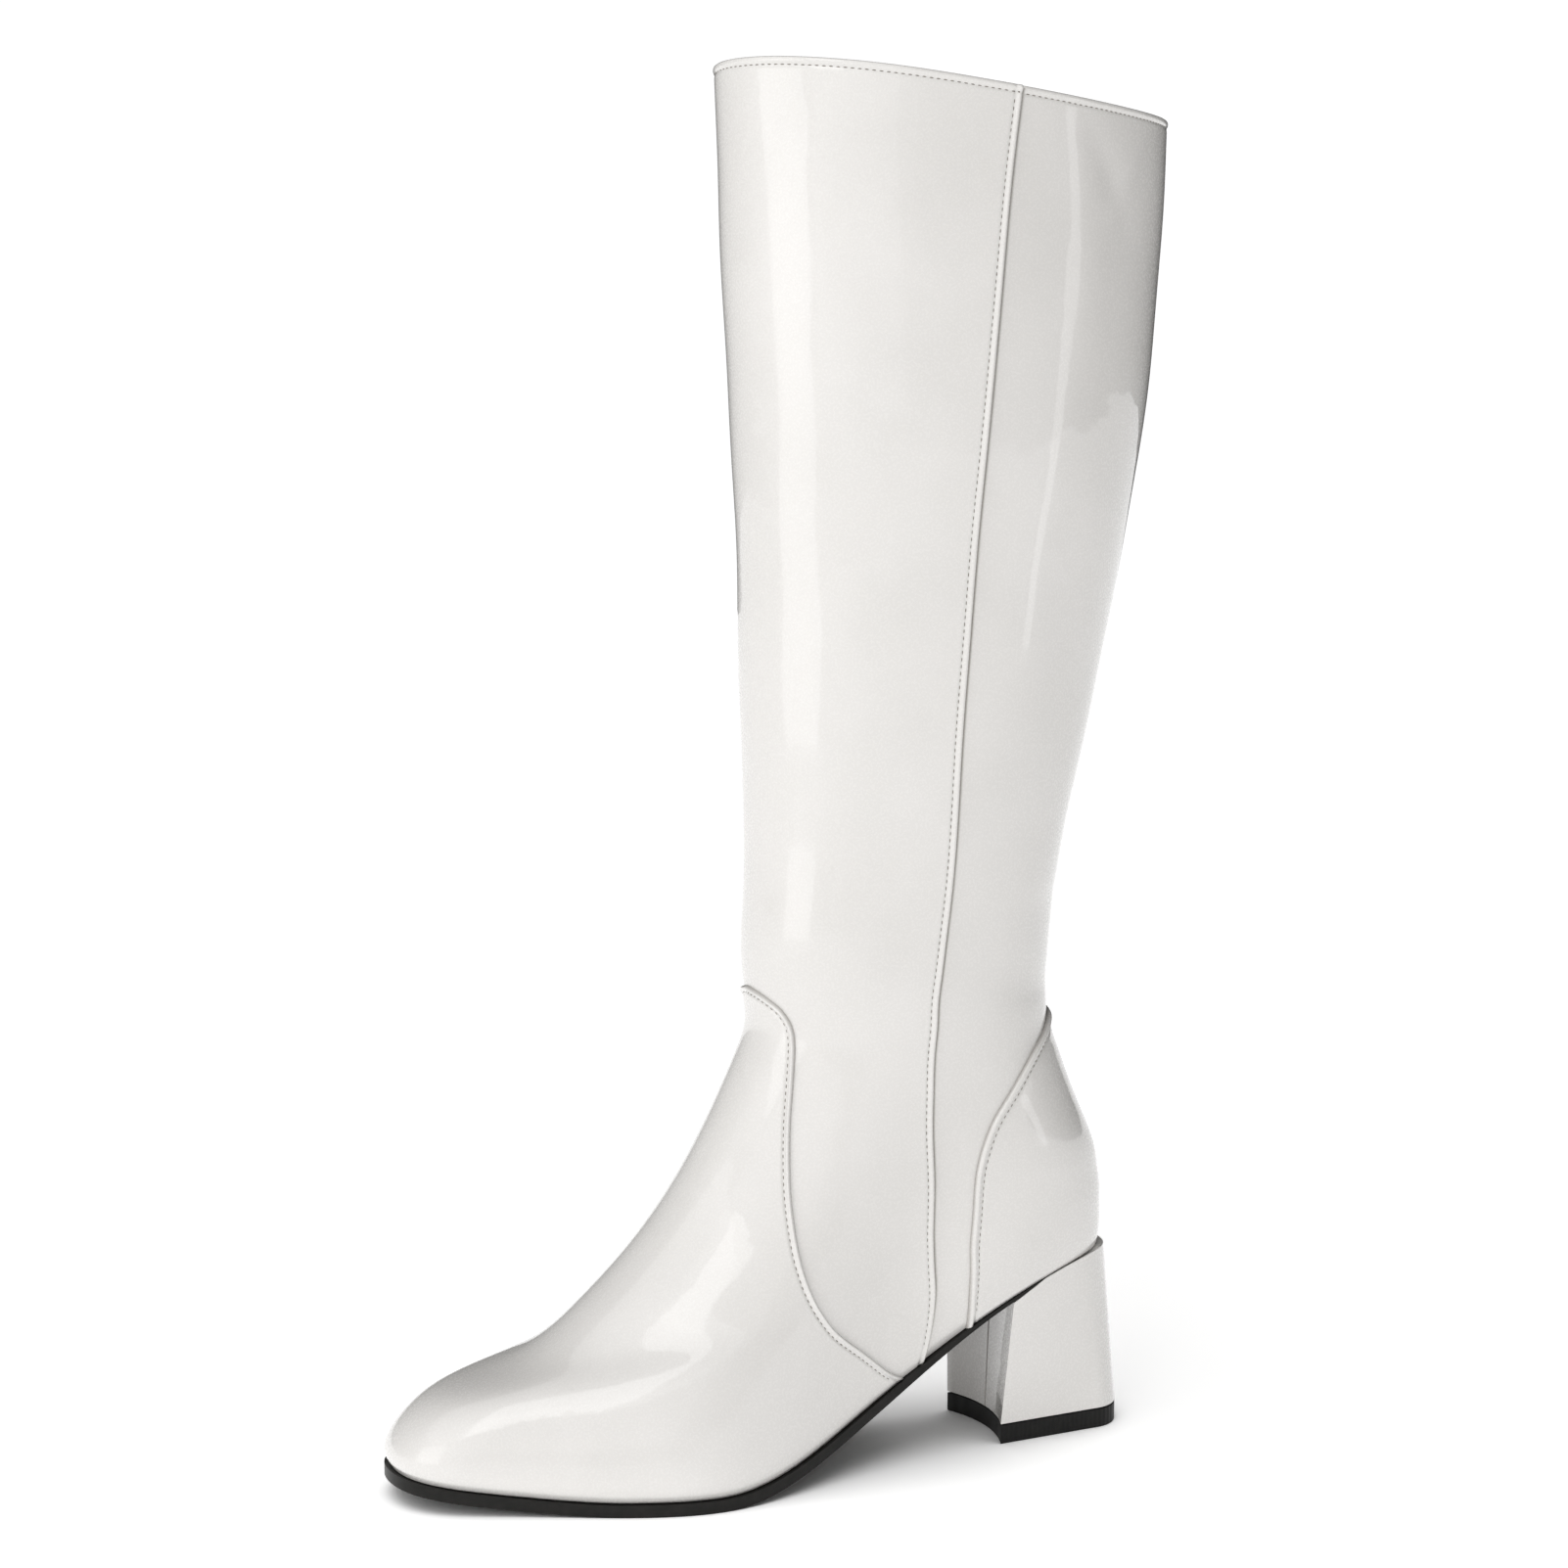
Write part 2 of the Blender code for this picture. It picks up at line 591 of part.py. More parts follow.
def main():
    remove_everything()
    boot = new_collection("go_go_boot")
    cutters = new_collection("cutters", hidden=True)
    root = bpy.data.objects.new("boot_root", None)
    boot.objects.link(root)
    patent = material("white_patent", (0.83, 0.82, 0.80), 0.12, coat=1.0)
    black = material("black_sole", (0.012, 0.011, 0.011), 0.45)
    lining = material("pale_lining", (0.72, 0.70, 0.66), 0.7)

    place(upper(), boot, root, patent)
    far = BALL_WIDTH
    vamp, vamp_cutter = overlay("vamp", VAMP_SEAM,
                                [(0.0, -far), (-FOOT_LENGTH - far, -far), (-FOOT_LENGTH - far, ANKLE_HEIGHT)])
    counter, counter_cutter = overlay("counter", COUNTER_SEAM,
                                      [(-HEEL_FRONT * 2, -far), (far, -far), (far, ANKLE_HEIGHT)])
    for piece, cutter in ((vamp, vamp_cutter), (counter, counter_cutter)):
        place(piece, boot, root, patent)
        cut(piece, "INTERSECT", cutter, cutters)
    place(outsole(), boot, root, black)
    place(insole(), boot, root, lining)
    body, tail = heel()
    place(body, boot, root, patent)
    cut(body, "DIFFERENCE", tail, cutters)
    place(heel_top_piece(), boot, root, black)
    stand_on_origin(boot, root)


main()
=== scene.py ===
import math

import bmesh
import bpy
import numpy as np
from mathutils import Matrix, Vector


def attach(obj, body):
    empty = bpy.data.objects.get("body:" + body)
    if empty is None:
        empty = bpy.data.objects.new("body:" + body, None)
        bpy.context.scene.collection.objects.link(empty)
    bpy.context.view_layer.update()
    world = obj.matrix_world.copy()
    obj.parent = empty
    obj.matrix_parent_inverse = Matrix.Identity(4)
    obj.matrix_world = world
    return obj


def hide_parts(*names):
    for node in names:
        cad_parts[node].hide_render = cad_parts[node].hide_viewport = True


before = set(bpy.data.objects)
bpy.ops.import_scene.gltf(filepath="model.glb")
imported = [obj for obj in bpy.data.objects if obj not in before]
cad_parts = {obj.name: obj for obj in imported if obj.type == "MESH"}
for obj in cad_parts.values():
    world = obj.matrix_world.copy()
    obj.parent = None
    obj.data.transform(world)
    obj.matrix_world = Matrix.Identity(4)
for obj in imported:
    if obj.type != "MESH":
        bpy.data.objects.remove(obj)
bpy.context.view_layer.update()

mm = 0.001

# The last: the same sizes, tables and curves that the solids were cut from, in metres.
# The toe points along -y and the outer side of the left foot is +x.
last = {
    "footLength": 0.2325,
    "ballWidth": 0.082,
    "toeSpring": 0.0062,
    "seatRise": 0.0560,
    "soleThickness": 0.0036,
    "ankleHeight": 0.146,
    "ankleDepth": 0.0984,
    "ankleWidth": 0.066,
    "ankleSetback": 0.0193,
    "collarHeight": 0.4266,
    "collarDrop": 0.0118,
    "collarDip": 0.0026,
    "collarDepth": 0.1467,
    "collarWidth": 0.088,
    "collarOverhang": 0.0198,
    "gap": 0.0003,
    "flatBack": 0.612,
    "flatFront": 0.735,
    "springCurve": 1.55,
    "dipPeak": 27 / 4,   # makes the collar's dip whole at two thirds of the way back
    "levelEdge": 0.03,   # rise over which an offset turns level
    "back": 0.1062,   # where the heel back stands in the frame
}

stations = (0.10, 0.36, 0.62, 0.88)
footSections = (
    # front, frontRise, back, backRise, toe, ball, waist, heel, toeFull, heelFull, follow
    (0.989, 0.000, 0.004, 0.000, 0.283, 0.476, 0.308, 0.284, 2.10, 2.05, 1.00),
    (0.994, 0.032, 0.002, 0.068, 0.295, 0.492, 0.330, 0.308, 2.10, 2.05, 0.95),
    (0.987, 0.066, 0.003, 0.150, 0.292, 0.488, 0.344, 0.330, 2.05, 2.00, 0.84),
    (0.973, 0.099, 0.004, 0.225, 0.281, 0.474, 0.354, 0.344, 1.95, 1.95, 0.72),
    (0.941, 0.144, 0.008, 0.295, 0.262, 0.453, 0.359, 0.351, 1.85, 1.90, 0.60),
    (0.882, 0.179, 0.013, 0.370, 0.246, 0.432, 0.362, 0.353, 1.75, 1.85, 0.46),
    (0.808, 0.223, 0.023, 0.450, 0.242, 0.413, 0.368, 0.352, 1.65, 1.75, 0.33),
    (0.738, 0.312, 0.036, 0.532, 0.236, 0.398, 0.374, 0.346, 1.55, 1.65, 0.21),
    (0.674, 0.419, 0.050, 0.615, 0.228, 0.383, 0.377, 0.335, 1.45, 1.55, 0.12),
    (0.618, 0.543, 0.063, 0.698, 0.222, 0.376, 0.379, 0.319, 1.35, 1.42, 0.06),
    (0.568, 0.684, 0.075, 0.785, 0.222, 0.378, 0.382, 0.301, 1.25, 1.30, 0.02),
    (0.517, 0.855, 0.083, 0.885, 0.232, 0.384, 0.388, 0.283, 1.15, 1.20, 0.00),
    (0.502, 0.935, 0.083, 0.950, 0.243, 0.387, 0.391, 0.278, 1.12, 1.13, 0.00),
)
shaftSections = (
    # rise, front, back, width, full
    (0.00, 0.00, 0.000, 0.00, 1.08),
    (0.12, 0.03, 0.080, 0.14, 1.05),
    (0.30, 0.13, 0.336, 0.45, 1.02),
    (0.47, 0.25, 0.590, 0.73, 1.00),
    (0.63, 0.49, 0.797, 0.91, 1.00),
    (0.82, 0.79, 0.938, 1.00, 1.00),
    (1.00, 1.00, 1.000, 1.00, 1.00),
)
centreLine = ((0.00, 0.000), (0.12, 0.000), (0.38, 0.030), (0.62, 0.033),
              (0.72, 0.007), (0.82, -0.015), (0.92, -0.032), (1.00, -0.043))   # forward, swing

# Seams as (turn round the boot, rise up it)
sideSeamTable = ((0.00, 0.315), (0.03, 0.317), (0.06, 0.313), (0.11, 0.300), (0.17, 0.286),
                 (0.23, 0.270), (0.26, 0.262), (0.29, 0.252), (0.32, 0.246), (0.35, 0.252),
                 (0.38, 0.255), (0.44, 0.253), (0.51, 0.248), (0.60, 0.243), (0.70, 0.241),
                 (0.80, 0.245), (0.90, 0.251), (1.00, 0.261))   # rise, turn
vampSeamTable = ((0.000, 0.340), (0.030, 0.338), (0.055, 0.334), (0.072, 0.329), (0.084, 0.321),
                 (0.093, 0.310), (0.110, 0.289), (0.127, 0.266), (0.144, 0.242), (0.162, 0.215),
                 (0.182, 0.185), (0.203, 0.152), (0.230, 0.110), (0.260, 0.064), (0.285, 0.030),
                 (0.304, 0.000))
counterSeamTable = ((0.500, 0.305), (0.470, 0.303), (0.440, 0.298), (0.415, 0.289), (0.388, 0.275),
                    (0.363, 0.255), (0.342, 0.231), (0.327, 0.209), (0.320, 0.180), (0.320, 0.145),
                    (0.327, 0.095), (0.335, 0.041), (0.338, 0.000))


def naturalSpline(xs, ys):
    xs = np.asarray(xs, float)
    ys = np.asarray(ys, float).reshape(len(xs), -1)
    step = np.diff(xs)
    slope = np.diff(ys, axis=0) / step[:, None]
    system = np.eye(len(xs))
    right = np.zeros_like(ys)
    for i in range(1, len(xs) - 1):
        system[i, i - 1:i + 2] = step[i - 1], 2 * (step[i - 1] + step[i]), step[i]
        right[i] = 6 * (slope[i] - slope[i - 1])
    bend = np.linalg.solve(system, right)

    def at(x):
        x = np.asarray(x, float)
        i = np.clip(np.searchsorted(xs, x) - 1, 0, len(step) - 1)
        h = step[i][..., None]
        a = (xs[i + 1] - x)[..., None] / h
        b = 1 - a
        return a * ys[i] + b * ys[i + 1] + ((a**3 - a) * bend[i] + (b**3 - b) * bend[i + 1]) * h**2 / 6

    return at


def smoothStep(t):
    t = np.clip(t, 0.0, 1.0)
    return t * t * (3 - 2 * t)


def soleBottom(forward):
    spring = np.clip((forward - last["flatFront"]) / (1 - last["flatFront"]), 0.0, 2.0)
    seat = smoothStep(1 - forward / last["flatBack"])
    return last["toeSpring"] * spring**last["springCurve"] + last["seatRise"] * seat


def soleTop(forward):
    return soleBottom(forward) + last["soleThickness"]


def bluntness(share, full):
    return 1 - (1 - np.sqrt(np.clip(4 * share * (1 - share), 0.0, 1.0)))**full


def sectionRows():
    toeBase = soleTop(footSections[0][0]) + last["gap"]
    seatBase = soleTop(footSections[0][2]) + last["gap"]
    rows = []
    for front, frontRise, back, backRise, *halves, toeFull, heelFull, follow in footSections:
        widths = [width * last["ballWidth"] / bluntness(share, toeFull + (heelFull - toeFull) * share)
                  for share, width in zip(stations, halves)]
        rows.append((-front * last["footLength"], toeBase + frontRise * (last["ankleHeight"] - toeBase),
                     -back * last["footLength"], seatBase + backRise * (last["ankleHeight"] - seatBase),
                     *widths, toeFull, heelFull, follow, 0.0))
    ankleFront = -last["ankleSetback"] - last["ankleDepth"]
    collarFront = last["collarOverhang"] - last["collarDepth"]
    shaftRise = last["collarHeight"] - last["ankleHeight"]
    for rise, front, back, width, full in shaftSections:
        half = (last["ankleWidth"] + (last["collarWidth"] - last["ankleWidth"]) * width) / 2
        rows.append((ankleFront + (collarFront - ankleFront) * front,
                     last["ankleHeight"] + shaftRise * rise,
                     -last["ankleSetback"] + (last["collarOverhang"] + last["ankleSetback"]) * back,
                     last["ankleHeight"] + (shaftRise - last["collarDrop"]) * rise,
                     half, half, half, half, full, full, 0.0, last["collarDip"] * rise))
    return np.array(rows)


sections = sectionRows()
steps = np.hypot(*np.diff(sections[:, :2], axis=0).T) + np.hypot(*np.diff(sections[:, 2:4], axis=0).T)
sectionAt = naturalSpline(np.concatenate(([0.0], np.cumsum(steps))) / steps.sum(), sections)
widthWeights = naturalSpline((0.0, *stations, 1.0), np.eye(6))
swing = naturalSpline(*zip(*centreLine))
sideSeam = naturalSpline(*zip(*sideSeamTable))


def surface(turn, rise):
    # the outer face of the leather: turn 0 is the toe, 0.25 the outer side, 0.5 the heel
    turn, rise = np.broadcast_arrays(np.asarray(turn, float), np.asarray(rise, float))
    row = sectionAt(rise)
    frontY, frontZ, backY, backZ = (row[..., i] for i in range(4))
    share = (1 - np.cos(2 * math.pi * turn)) / 2
    full = row[..., 8] + (row[..., 9] - row[..., 8]) * share
    side = np.sin(2 * math.pi * turn)
    half = (row[..., [4, 4, 5, 6, 7, 7]] * widthWeights(share)).sum(-1) * (1 - (1 - np.abs(side))**full)
    y = frontY + (backY - frontY) * share
    forward = -y / last["footLength"]
    follow = row[..., 10]
    toeEnd = soleTop(-frontY / last["footLength"])
    heelEnd = soleTop(-backY / last["footLength"])
    z = frontZ + (backZ - frontZ) * share - row[..., 11] * last["dipPeak"] * share**2 * (1 - share)
    z = z + follow * (soleTop(forward) - toeEnd - (heelEnd - toeEnd) * share)
    x = np.sign(side) * half + swing(forward)[..., 0] * last["ballWidth"] * follow
    return np.stack((x, y + last["back"], z), -1)


def slopes(turn, rise, nudge=0.002):
    low = np.clip(rise - nudge, 0, 1)
    high = np.clip(rise + nudge, 0, 1)
    around = (surface(turn + nudge, rise) - surface(turn - nudge, rise)) / (2 * nudge)
    up = (surface(turn, high) - surface(turn, low)) / (high - low)[..., None]
    return around, up


def outward(turn, rise):
    # away from the leather, and level along the feather line
    turn, rise = np.broadcast_arrays(np.asarray(turn, float), np.asarray(rise, float))
    around, up = slopes(turn, rise)
    out = np.cross(around, up)
    out[..., 2] *= smoothStep(rise / last["levelEdge"])
    return out / np.linalg.norm(out, axis=-1, keepdims=True)


# How the leather lies: soft hollows and swells of the shaft, and the raised seams
creases = (
    # turn, rise, across, along (metres), lean (degrees), depth
    (0.335, 0.950, 0.0050, 0.0160, 35, -0.0005),
    (0.352, 0.938, 0.0040, 0.0140, -30, 0.0004),
    (0.318, 0.900, 0.0090, 0.0260, 8, 0.0005),
    (0.125, 0.955, 0.0070, 0.0130, -20, 0.0004),
    (0.140, 0.900, 0.0080, 0.0300, 10, -0.0003),
    (0.300, 0.760, 0.0110, 0.0420, -6, 0.0006),
    (0.330, 0.640, 0.0100, 0.0380, 10, -0.0005),
    (0.290, 0.560, 0.0120, 0.0320, -12, 0.0004),
    (0.420, 0.700, 0.0120, 0.0300, 15, -0.0005),
    (0.395, 0.400, 0.0160, 0.0060, 12, -0.0005),
    (0.380, 0.365, 0.0180, 0.0060, -10, 0.0004),
    (0.400, 0.335, 0.0140, 0.0050, 6, -0.0004),
    (0.130, 0.400, 0.0120, 0.0180, 12, 0.0003),
    (0.210, 0.330, 0.0100, 0.0220, -15, -0.0003),
    (0.230, 0.250, 0.0120, 0.0160, 25, -0.0003),
)
otherSide = {"shift": 0.02, "share": 0.7}   # the same folds, weaker, on the inner side
wave = {
    "around": 5,        # swells round the shaft
    "lean": 14,
    "along": 31,
    "sway": 3,
    "height": 0.26 * mm,
    "start": 0.1,       # rise at which it is whole
}
sideSeams = {
    "lap": 0.9 * mm,       # front panel over the back one
    "reach": 13.0 * mm,    # how far forward the lap fades
    "stepWidth": 0.25 * mm,
    "ridge": 0.35 * mm,    # folded edge over the lap
    "ridgeAt": 0.75 * mm,
    "ridgeWidth": 0.50 * mm,
    "channel": 0.22 * mm,  # stitches lie in it
    "channelAt": 2.1 * mm,
    "channelWidth": 0.45 * mm,
    "dip": 0.35 * mm,      # the back panel dips under the fold
    "dipAt": -0.3 * mm,
    "dipWidth": 0.5 * mm,
    "shade": 0.85,         # painted shade in that step, darkening the leather
    "shadeAt": -0.55 * mm,
    "shadeWidth": 0.40 * mm,
}
topline = {
    "roll": 0.30 * mm,
    "rollAt": 1.0 * mm,
    "rollWidth": 0.8 * mm,
    "channel": 0.22 * mm,
    "channelAt": 2.3 * mm,
    "channelWidth": 0.45 * mm,
    "shaftLength": 0.385,  # of leather for one unit of rise near the collar
}


def bump(distance, at, width):
    return np.exp(-((distance - at) / width)**2)


def seamAhead(turn, rise):
    # metres in front of the side seam on its own side, negative behind it
    pace = np.linalg.norm(slopes(sideSeam(rise)[..., 0], rise)[0], axis=-1)
    turn = np.mod(turn, 1.0)
    return (sideSeam(rise)[..., 0] - np.minimum(turn, 1 - turn)) * pace


def lapHeight(turn, rise, detail=True):
    s = sideSeams
    ahead = seamAhead(turn, rise)
    step = smoothStep(ahead / s["stepWidth"] + 0.5)
    height = s["lap"] * np.exp(-np.abs(ahead) / s["reach"]) * step
    if detail:
        height = height + s["ridge"] * bump(ahead, s["ridgeAt"], s["ridgeWidth"]) * step
        height = height - s["channel"] * bump(ahead, s["channelAt"], s["channelWidth"])
        height = height - s["dip"] * bump(ahead, s["dipAt"], s["dipWidth"]) * (1 - step)
    return height


def softFolds(turn, rise):
    turn = np.mod(turn, 1.0)
    height = np.zeros(np.broadcast(turn, rise).shape)
    for at, level, across, along, lean, depth in creases:
        around, up = slopes(np.array(at), np.array(level))
        c, s = math.cos(math.radians(lean)), math.sin(math.radians(lean))
        b = (rise - level) * np.linalg.norm(up)
        mirrored = 1 - at + otherSide["shift"]
        for centre, hand, share in ((at, 1, 1.0), (mirrored, -1, otherSide["share"])):
            a = (turn - centre) * np.linalg.norm(around) * hand
            fold = np.exp(-((a * c + b * s) / across)**2 - ((b * c - a * s) / along)**2)
            height += share * depth * fold
    angle = turn * 2 * math.pi
    swell = np.sin(angle * wave["around"] + wave["lean"] * rise)
    swell = swell * np.sin(rise * wave["along"] + wave["sway"] * np.cos(angle))
    return height + wave["height"] * swell * smoothStep(rise / wave["start"])


def leather(turn, rise, out=0.0, detail=True):
    # a point of the outer leather with its seams and folds, raised by out
    turn, rise = np.broadcast_arrays(np.asarray(turn, float), np.asarray(rise, float))
    height = out + lapHeight(turn, rise, detail) + softFolds(turn, rise)
    if detail:
        t = topline
        below = (1 - rise) * t["shaftLength"]
        height = height + t["roll"] * bump(below, t["rollAt"], t["rollWidth"])
        height = height - t["channel"] * bump(below, t["channelAt"], t["channelWidth"])
    return surface(turn, rise) + outward(turn, rise) * np.asarray(height)[..., None]


# Mesh helpers
mergeReach = 0.002 * mm


def sheet(bm, across, up, place, shade=None):
    # a grid whose columns and rows are laid where place says, with the shading of its seams
    layer = bm.verts.layers.float.get("seamShade") or bm.verts.layers.float.new("seamShade")
    made = bmesh.ops.create_grid(bm, x_segments=len(across) - 1, y_segments=len(up) - 1, size=0.5)
    verts = made["verts"]
    flat = np.array([v.co[:2] for v in verts]) + 0.5
    column = np.rint(flat[:, 0] * (len(across) - 1)).astype(int)
    row = np.rint(flat[:, 1] * (len(up) - 1)).astype(int)
    at = np.asarray(across)[column], np.asarray(up)[row]
    for v, point in zip(verts, place(*at)):
        v.co = point
    if shade:
        for v, amount in zip(verts, shade(*at)):
            v[layer] = amount
    bmesh.ops.remove_doubles(bm, verts=verts, dist=mergeReach)
    return bm


def finishMesh(name, bm, materials, sharp=40, smooth=True):
    mesh = bpy.data.meshes.new(name)
    bm.to_mesh(mesh)
    bm.free()
    piece = bpy.data.objects.new(name, mesh)
    bpy.context.scene.collection.objects.link(piece)
    for made in materials:
        mesh.materials.append(made)
    if smooth:
        mesh.shade_smooth()
        mesh.set_sharp_from_angle(angle=math.radians(sharp))
    return piece


def closedWall(across, up, outer, inner, shade=None):
    # two sheets joined round their rims
    bm = bmesh.new()
    sheet(bm, across, up, outer, shade)
    front = set(bm.faces)
    sheet(bm, across, up, inner)
    bmesh.ops.reverse_faces(bm, faces=[face for face in bm.faces if face not in front])
    rim = [edge for edge in bm.edges if edge.is_boundary]
    bmesh.ops.bridge_loops(bm, edges=rim)
    bmesh.ops.recalc_face_normals(bm, faces=bm.faces)
    return bm


def addBevel(piece, width, segments=3, angle=38):
    made = piece.modifiers.new("softEdges", "BEVEL")
    made.width = width
    made.segments = segments
    made.limit_method = "ANGLE"
    made.angle_limit = math.radians(angle)
    made.harden_normals = True


def ride(piece, slotName, *nodes):
    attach(piece, "root")
    if nodes:
        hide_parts(*nodes)


# Materials


def newMaterial(name):
    made = bpy.data.materials.new(name)
    made.use_nodes = True
    return made, made.node_tree.nodes, made.node_tree.links, made.node_tree.nodes["Principled BSDF"]


def noiseNode(nodes, links, scale, detail=4.0, roughness=0.5):
    coords = nodes.new("ShaderNodeTexCoord")
    noise = nodes.new("ShaderNodeTexNoise")
    noise.inputs["Scale"].default_value = scale
    noise.inputs["Detail"].default_value = detail
    noise.inputs["Roughness"].default_value = roughness
    links.new(coords.outputs["Object"], noise.inputs["Vector"])
    return noise


def rampNode(nodes, links, source, stops):
    ramp = nodes.new("ShaderNodeValToRGB")
    while len(ramp.color_ramp.elements) < len(stops):
        ramp.color_ramp.elements.new(0.5)
    for element, (at, colour) in zip(ramp.color_ramp.elements, stops):
        element.position = at
        element.color = (*colour, 1.0)
    links.new(source, ramp.inputs["Fac"])
    return ramp


def bumpNode(nodes, links, height, strength, distance, normal=None):
    made = nodes.new("ShaderNodeBump")
    made.inputs["Strength"].default_value = strength
    made.inputs["Distance"].default_value = distance
    links.new(height, made.inputs["Height"])
    if normal:
        links.new(normal, made.inputs["Normal"])
    return made.outputs["Normal"]


def rangeNode(nodes, links, source, low, high):
    made = nodes.new("ShaderNodeMapRange")
    made.inputs["To Min"].default_value = low
    made.inputs["To Max"].default_value = high
    links.new(source, made.inputs["Value"])
    return made.outputs["Result"]


patentLook = {
    "light": (0.720, 0.705, 0.686),
    "dark": (0.688, 0.674, 0.653),
    "paintedShadeColour": (0.200, 0.180, 0.155),   # painted shade where a seam's edge meets the leather beside it, in the heel's joint and on its breast
    "cloud": 24.0,           # noise scales, from large to fine
    "ripple": 70.0,
    "pebble": 900.0,
    "grain": 1400.0,
    "pebbleBump": (0.05, 0.1 * mm),    # strength, distance
    "rippleBump": (0.35, 0.35 * mm),
    "roughness": (0.22, 0.32),
    "coatRoughness": 0.025,
    "coatIor": 1.5,
}


def whitePatent(name):
    made, nodes, links, shader = newMaterial(name)
    cloud = noiseNode(nodes, links, patentLook["cloud"], 3.0)
    colour = rampNode(nodes, links, cloud.outputs["Fac"],
                      ((0.35, patentLook["dark"]), (0.65, patentLook["light"])))
    # painted shade: the seamShade attribute darkens the leather towards this colour
    paintedShadeMask = nodes.new("ShaderNodeAttribute")
    paintedShadeMask.attribute_name = "seamShade"
    mix = nodes.new("ShaderNodeMix")
    mix.data_type = "RGBA"
    links.new(paintedShadeMask.outputs["Fac"], mix.inputs["Factor"])
    links.new(colour.outputs["Color"], mix.inputs["A"])
    mix.inputs["B"].default_value = (*patentLook["paintedShadeColour"], 1.0)
    links.new(mix.outputs["Result"], shader.inputs["Base Color"])
    grain = noiseNode(nodes, links, patentLook["grain"], 3.0)
    gloss = rangeNode(nodes, links, grain.outputs["Fac"], *patentLook["roughness"])
    links.new(gloss, shader.inputs["Roughness"])
    pebble = noiseNode(nodes, links, patentLook["pebble"], 5.0, 0.6)
    skin = bumpNode(nodes, links, pebble.outputs["Fac"], *patentLook["pebbleBump"])
    links.new(skin, shader.inputs["Normal"])
    ripple = noiseNode(nodes, links, patentLook["ripple"], 2.0)
    lacquer = bumpNode(nodes, links, ripple.outputs["Fac"], *patentLook["rippleBump"])
    links.new(lacquer, shader.inputs["Coat Normal"])
    shader.inputs["Coat Weight"].default_value = 1.0
    shader.inputs["Coat Roughness"].default_value = patentLook["coatRoughness"]
    shader.inputs["Coat IOR"].default_value = patentLook["coatIor"]
    return made


rubberLook = {
    "cloud": 300.0,
    "fine": 2200.0,
    "fineBump": (0.25, 0.08 * mm),
    "ribBump": (0.35, 0.3 * mm),
    "ribDistortion": 0.4,
    "specular": 0.2,
    "edge": dict(light=(0.012, 0.011, 0.010), dark=(0.006, 0.006, 0.005), roughness=(0.32, 0.48)),
    "tread": dict(light=(0.010, 0.010, 0.009), dark=(0.005, 0.005, 0.005), roughness=(0.45, 0.62),
                  rib=180.0),
}


def blackRubber(name, light, dark, roughness, rib=0.0):
    made, nodes, links, shader = newMaterial(name)
    cloud = noiseNode(nodes, links, rubberLook["cloud"], 5.0)
    colour = rampNode(nodes, links, cloud.outputs["Fac"], ((0.35, dark), (0.70, light)))
    links.new(colour.outputs["Color"], shader.inputs["Base Color"])
    links.new(rangeNode(nodes, links, cloud.outputs["Fac"], *roughness), shader.inputs["Roughness"])
    shader.inputs["Specular IOR Level"].default_value = rubberLook["specular"]
    fine = noiseNode(nodes, links, rubberLook["fine"], 3.0)
    normal = bumpNode(nodes, links, fine.outputs["Fac"], *rubberLook["fineBump"])
    if rib:
        coords = nodes.new("ShaderNodeTexCoord")
        ribs = nodes.new("ShaderNodeTexWave")
        ribs.bands_direction = "Y"
        ribs.inputs["Scale"].default_value = rib
        ribs.inputs["Distortion"].default_value = rubberLook["ribDistortion"]
        links.new(coords.outputs["Object"], ribs.inputs["Vector"])
        normal = bumpNode(nodes, links, ribs.outputs["Fac"], *rubberLook["ribBump"], normal)
    links.new(normal, shader.inputs["Normal"])
    return made


liningLook = {
    "light": (0.70, 0.67, 0.62),
    "dark": (0.62, 0.59, 0.54),
    "weave": 320.0,
    "distortion": 1.2,
    "cloud": 60.0,
    "bump": (0.4, 0.15 * mm),
    "roughness": 0.85,
    "sheen": 0.2,
}


def wovenLining(name):
    made, nodes, links, shader = newMaterial(name)
    coords = nodes.new("ShaderNodeTexCoord")
    heights = []
    for direction in ("X", "Z"):
        threads = nodes.new("ShaderNodeTexWave")
        threads.bands_direction = direction
        threads.inputs["Scale"].default_value = liningLook["weave"]
        threads.inputs["Distortion"].default_value = liningLook["distortion"]
        threads.inputs["Detail"].default_value = 1.0
        links.new(coords.outputs["Object"], threads.inputs["Vector"])
        heights.append(threads)
    weave = nodes.new("ShaderNodeMath")
    weave.operation = "MULTIPLY"
    links.new(heights[0].outputs["Fac"], weave.inputs[0])
    links.new(heights[1].outputs["Fac"], weave.inputs[1])
    cloud = noiseNode(nodes, links, liningLook["cloud"], 4.0)
    colour = rampNode(nodes, links, cloud.outputs["Fac"],
                      ((0.3, liningLook["dark"]), (0.7, liningLook["light"])))
    links.new(colour.outputs["Color"], shader.inputs["Base Color"])
    shader.inputs["Roughness"].default_value = liningLook["roughness"]
    shader.inputs["Sheen Weight"].default_value = liningLook["sheen"]
    cloth = bumpNode(nodes, links, weave.outputs["Value"], *liningLook["bump"])
    links.new(cloth, shader.inputs["Normal"])
    return made


# the pale thread is coloured dark: painted shade of the stitch holes and channels
threadLook = {
    "light": (0.200, 0.180, 0.155),
    "dark": (0.140, 0.125, 0.105),
    "twist": 1800.0,
    "bump": (0.4, 0.05 * mm),
    "roughness": 0.6,
}


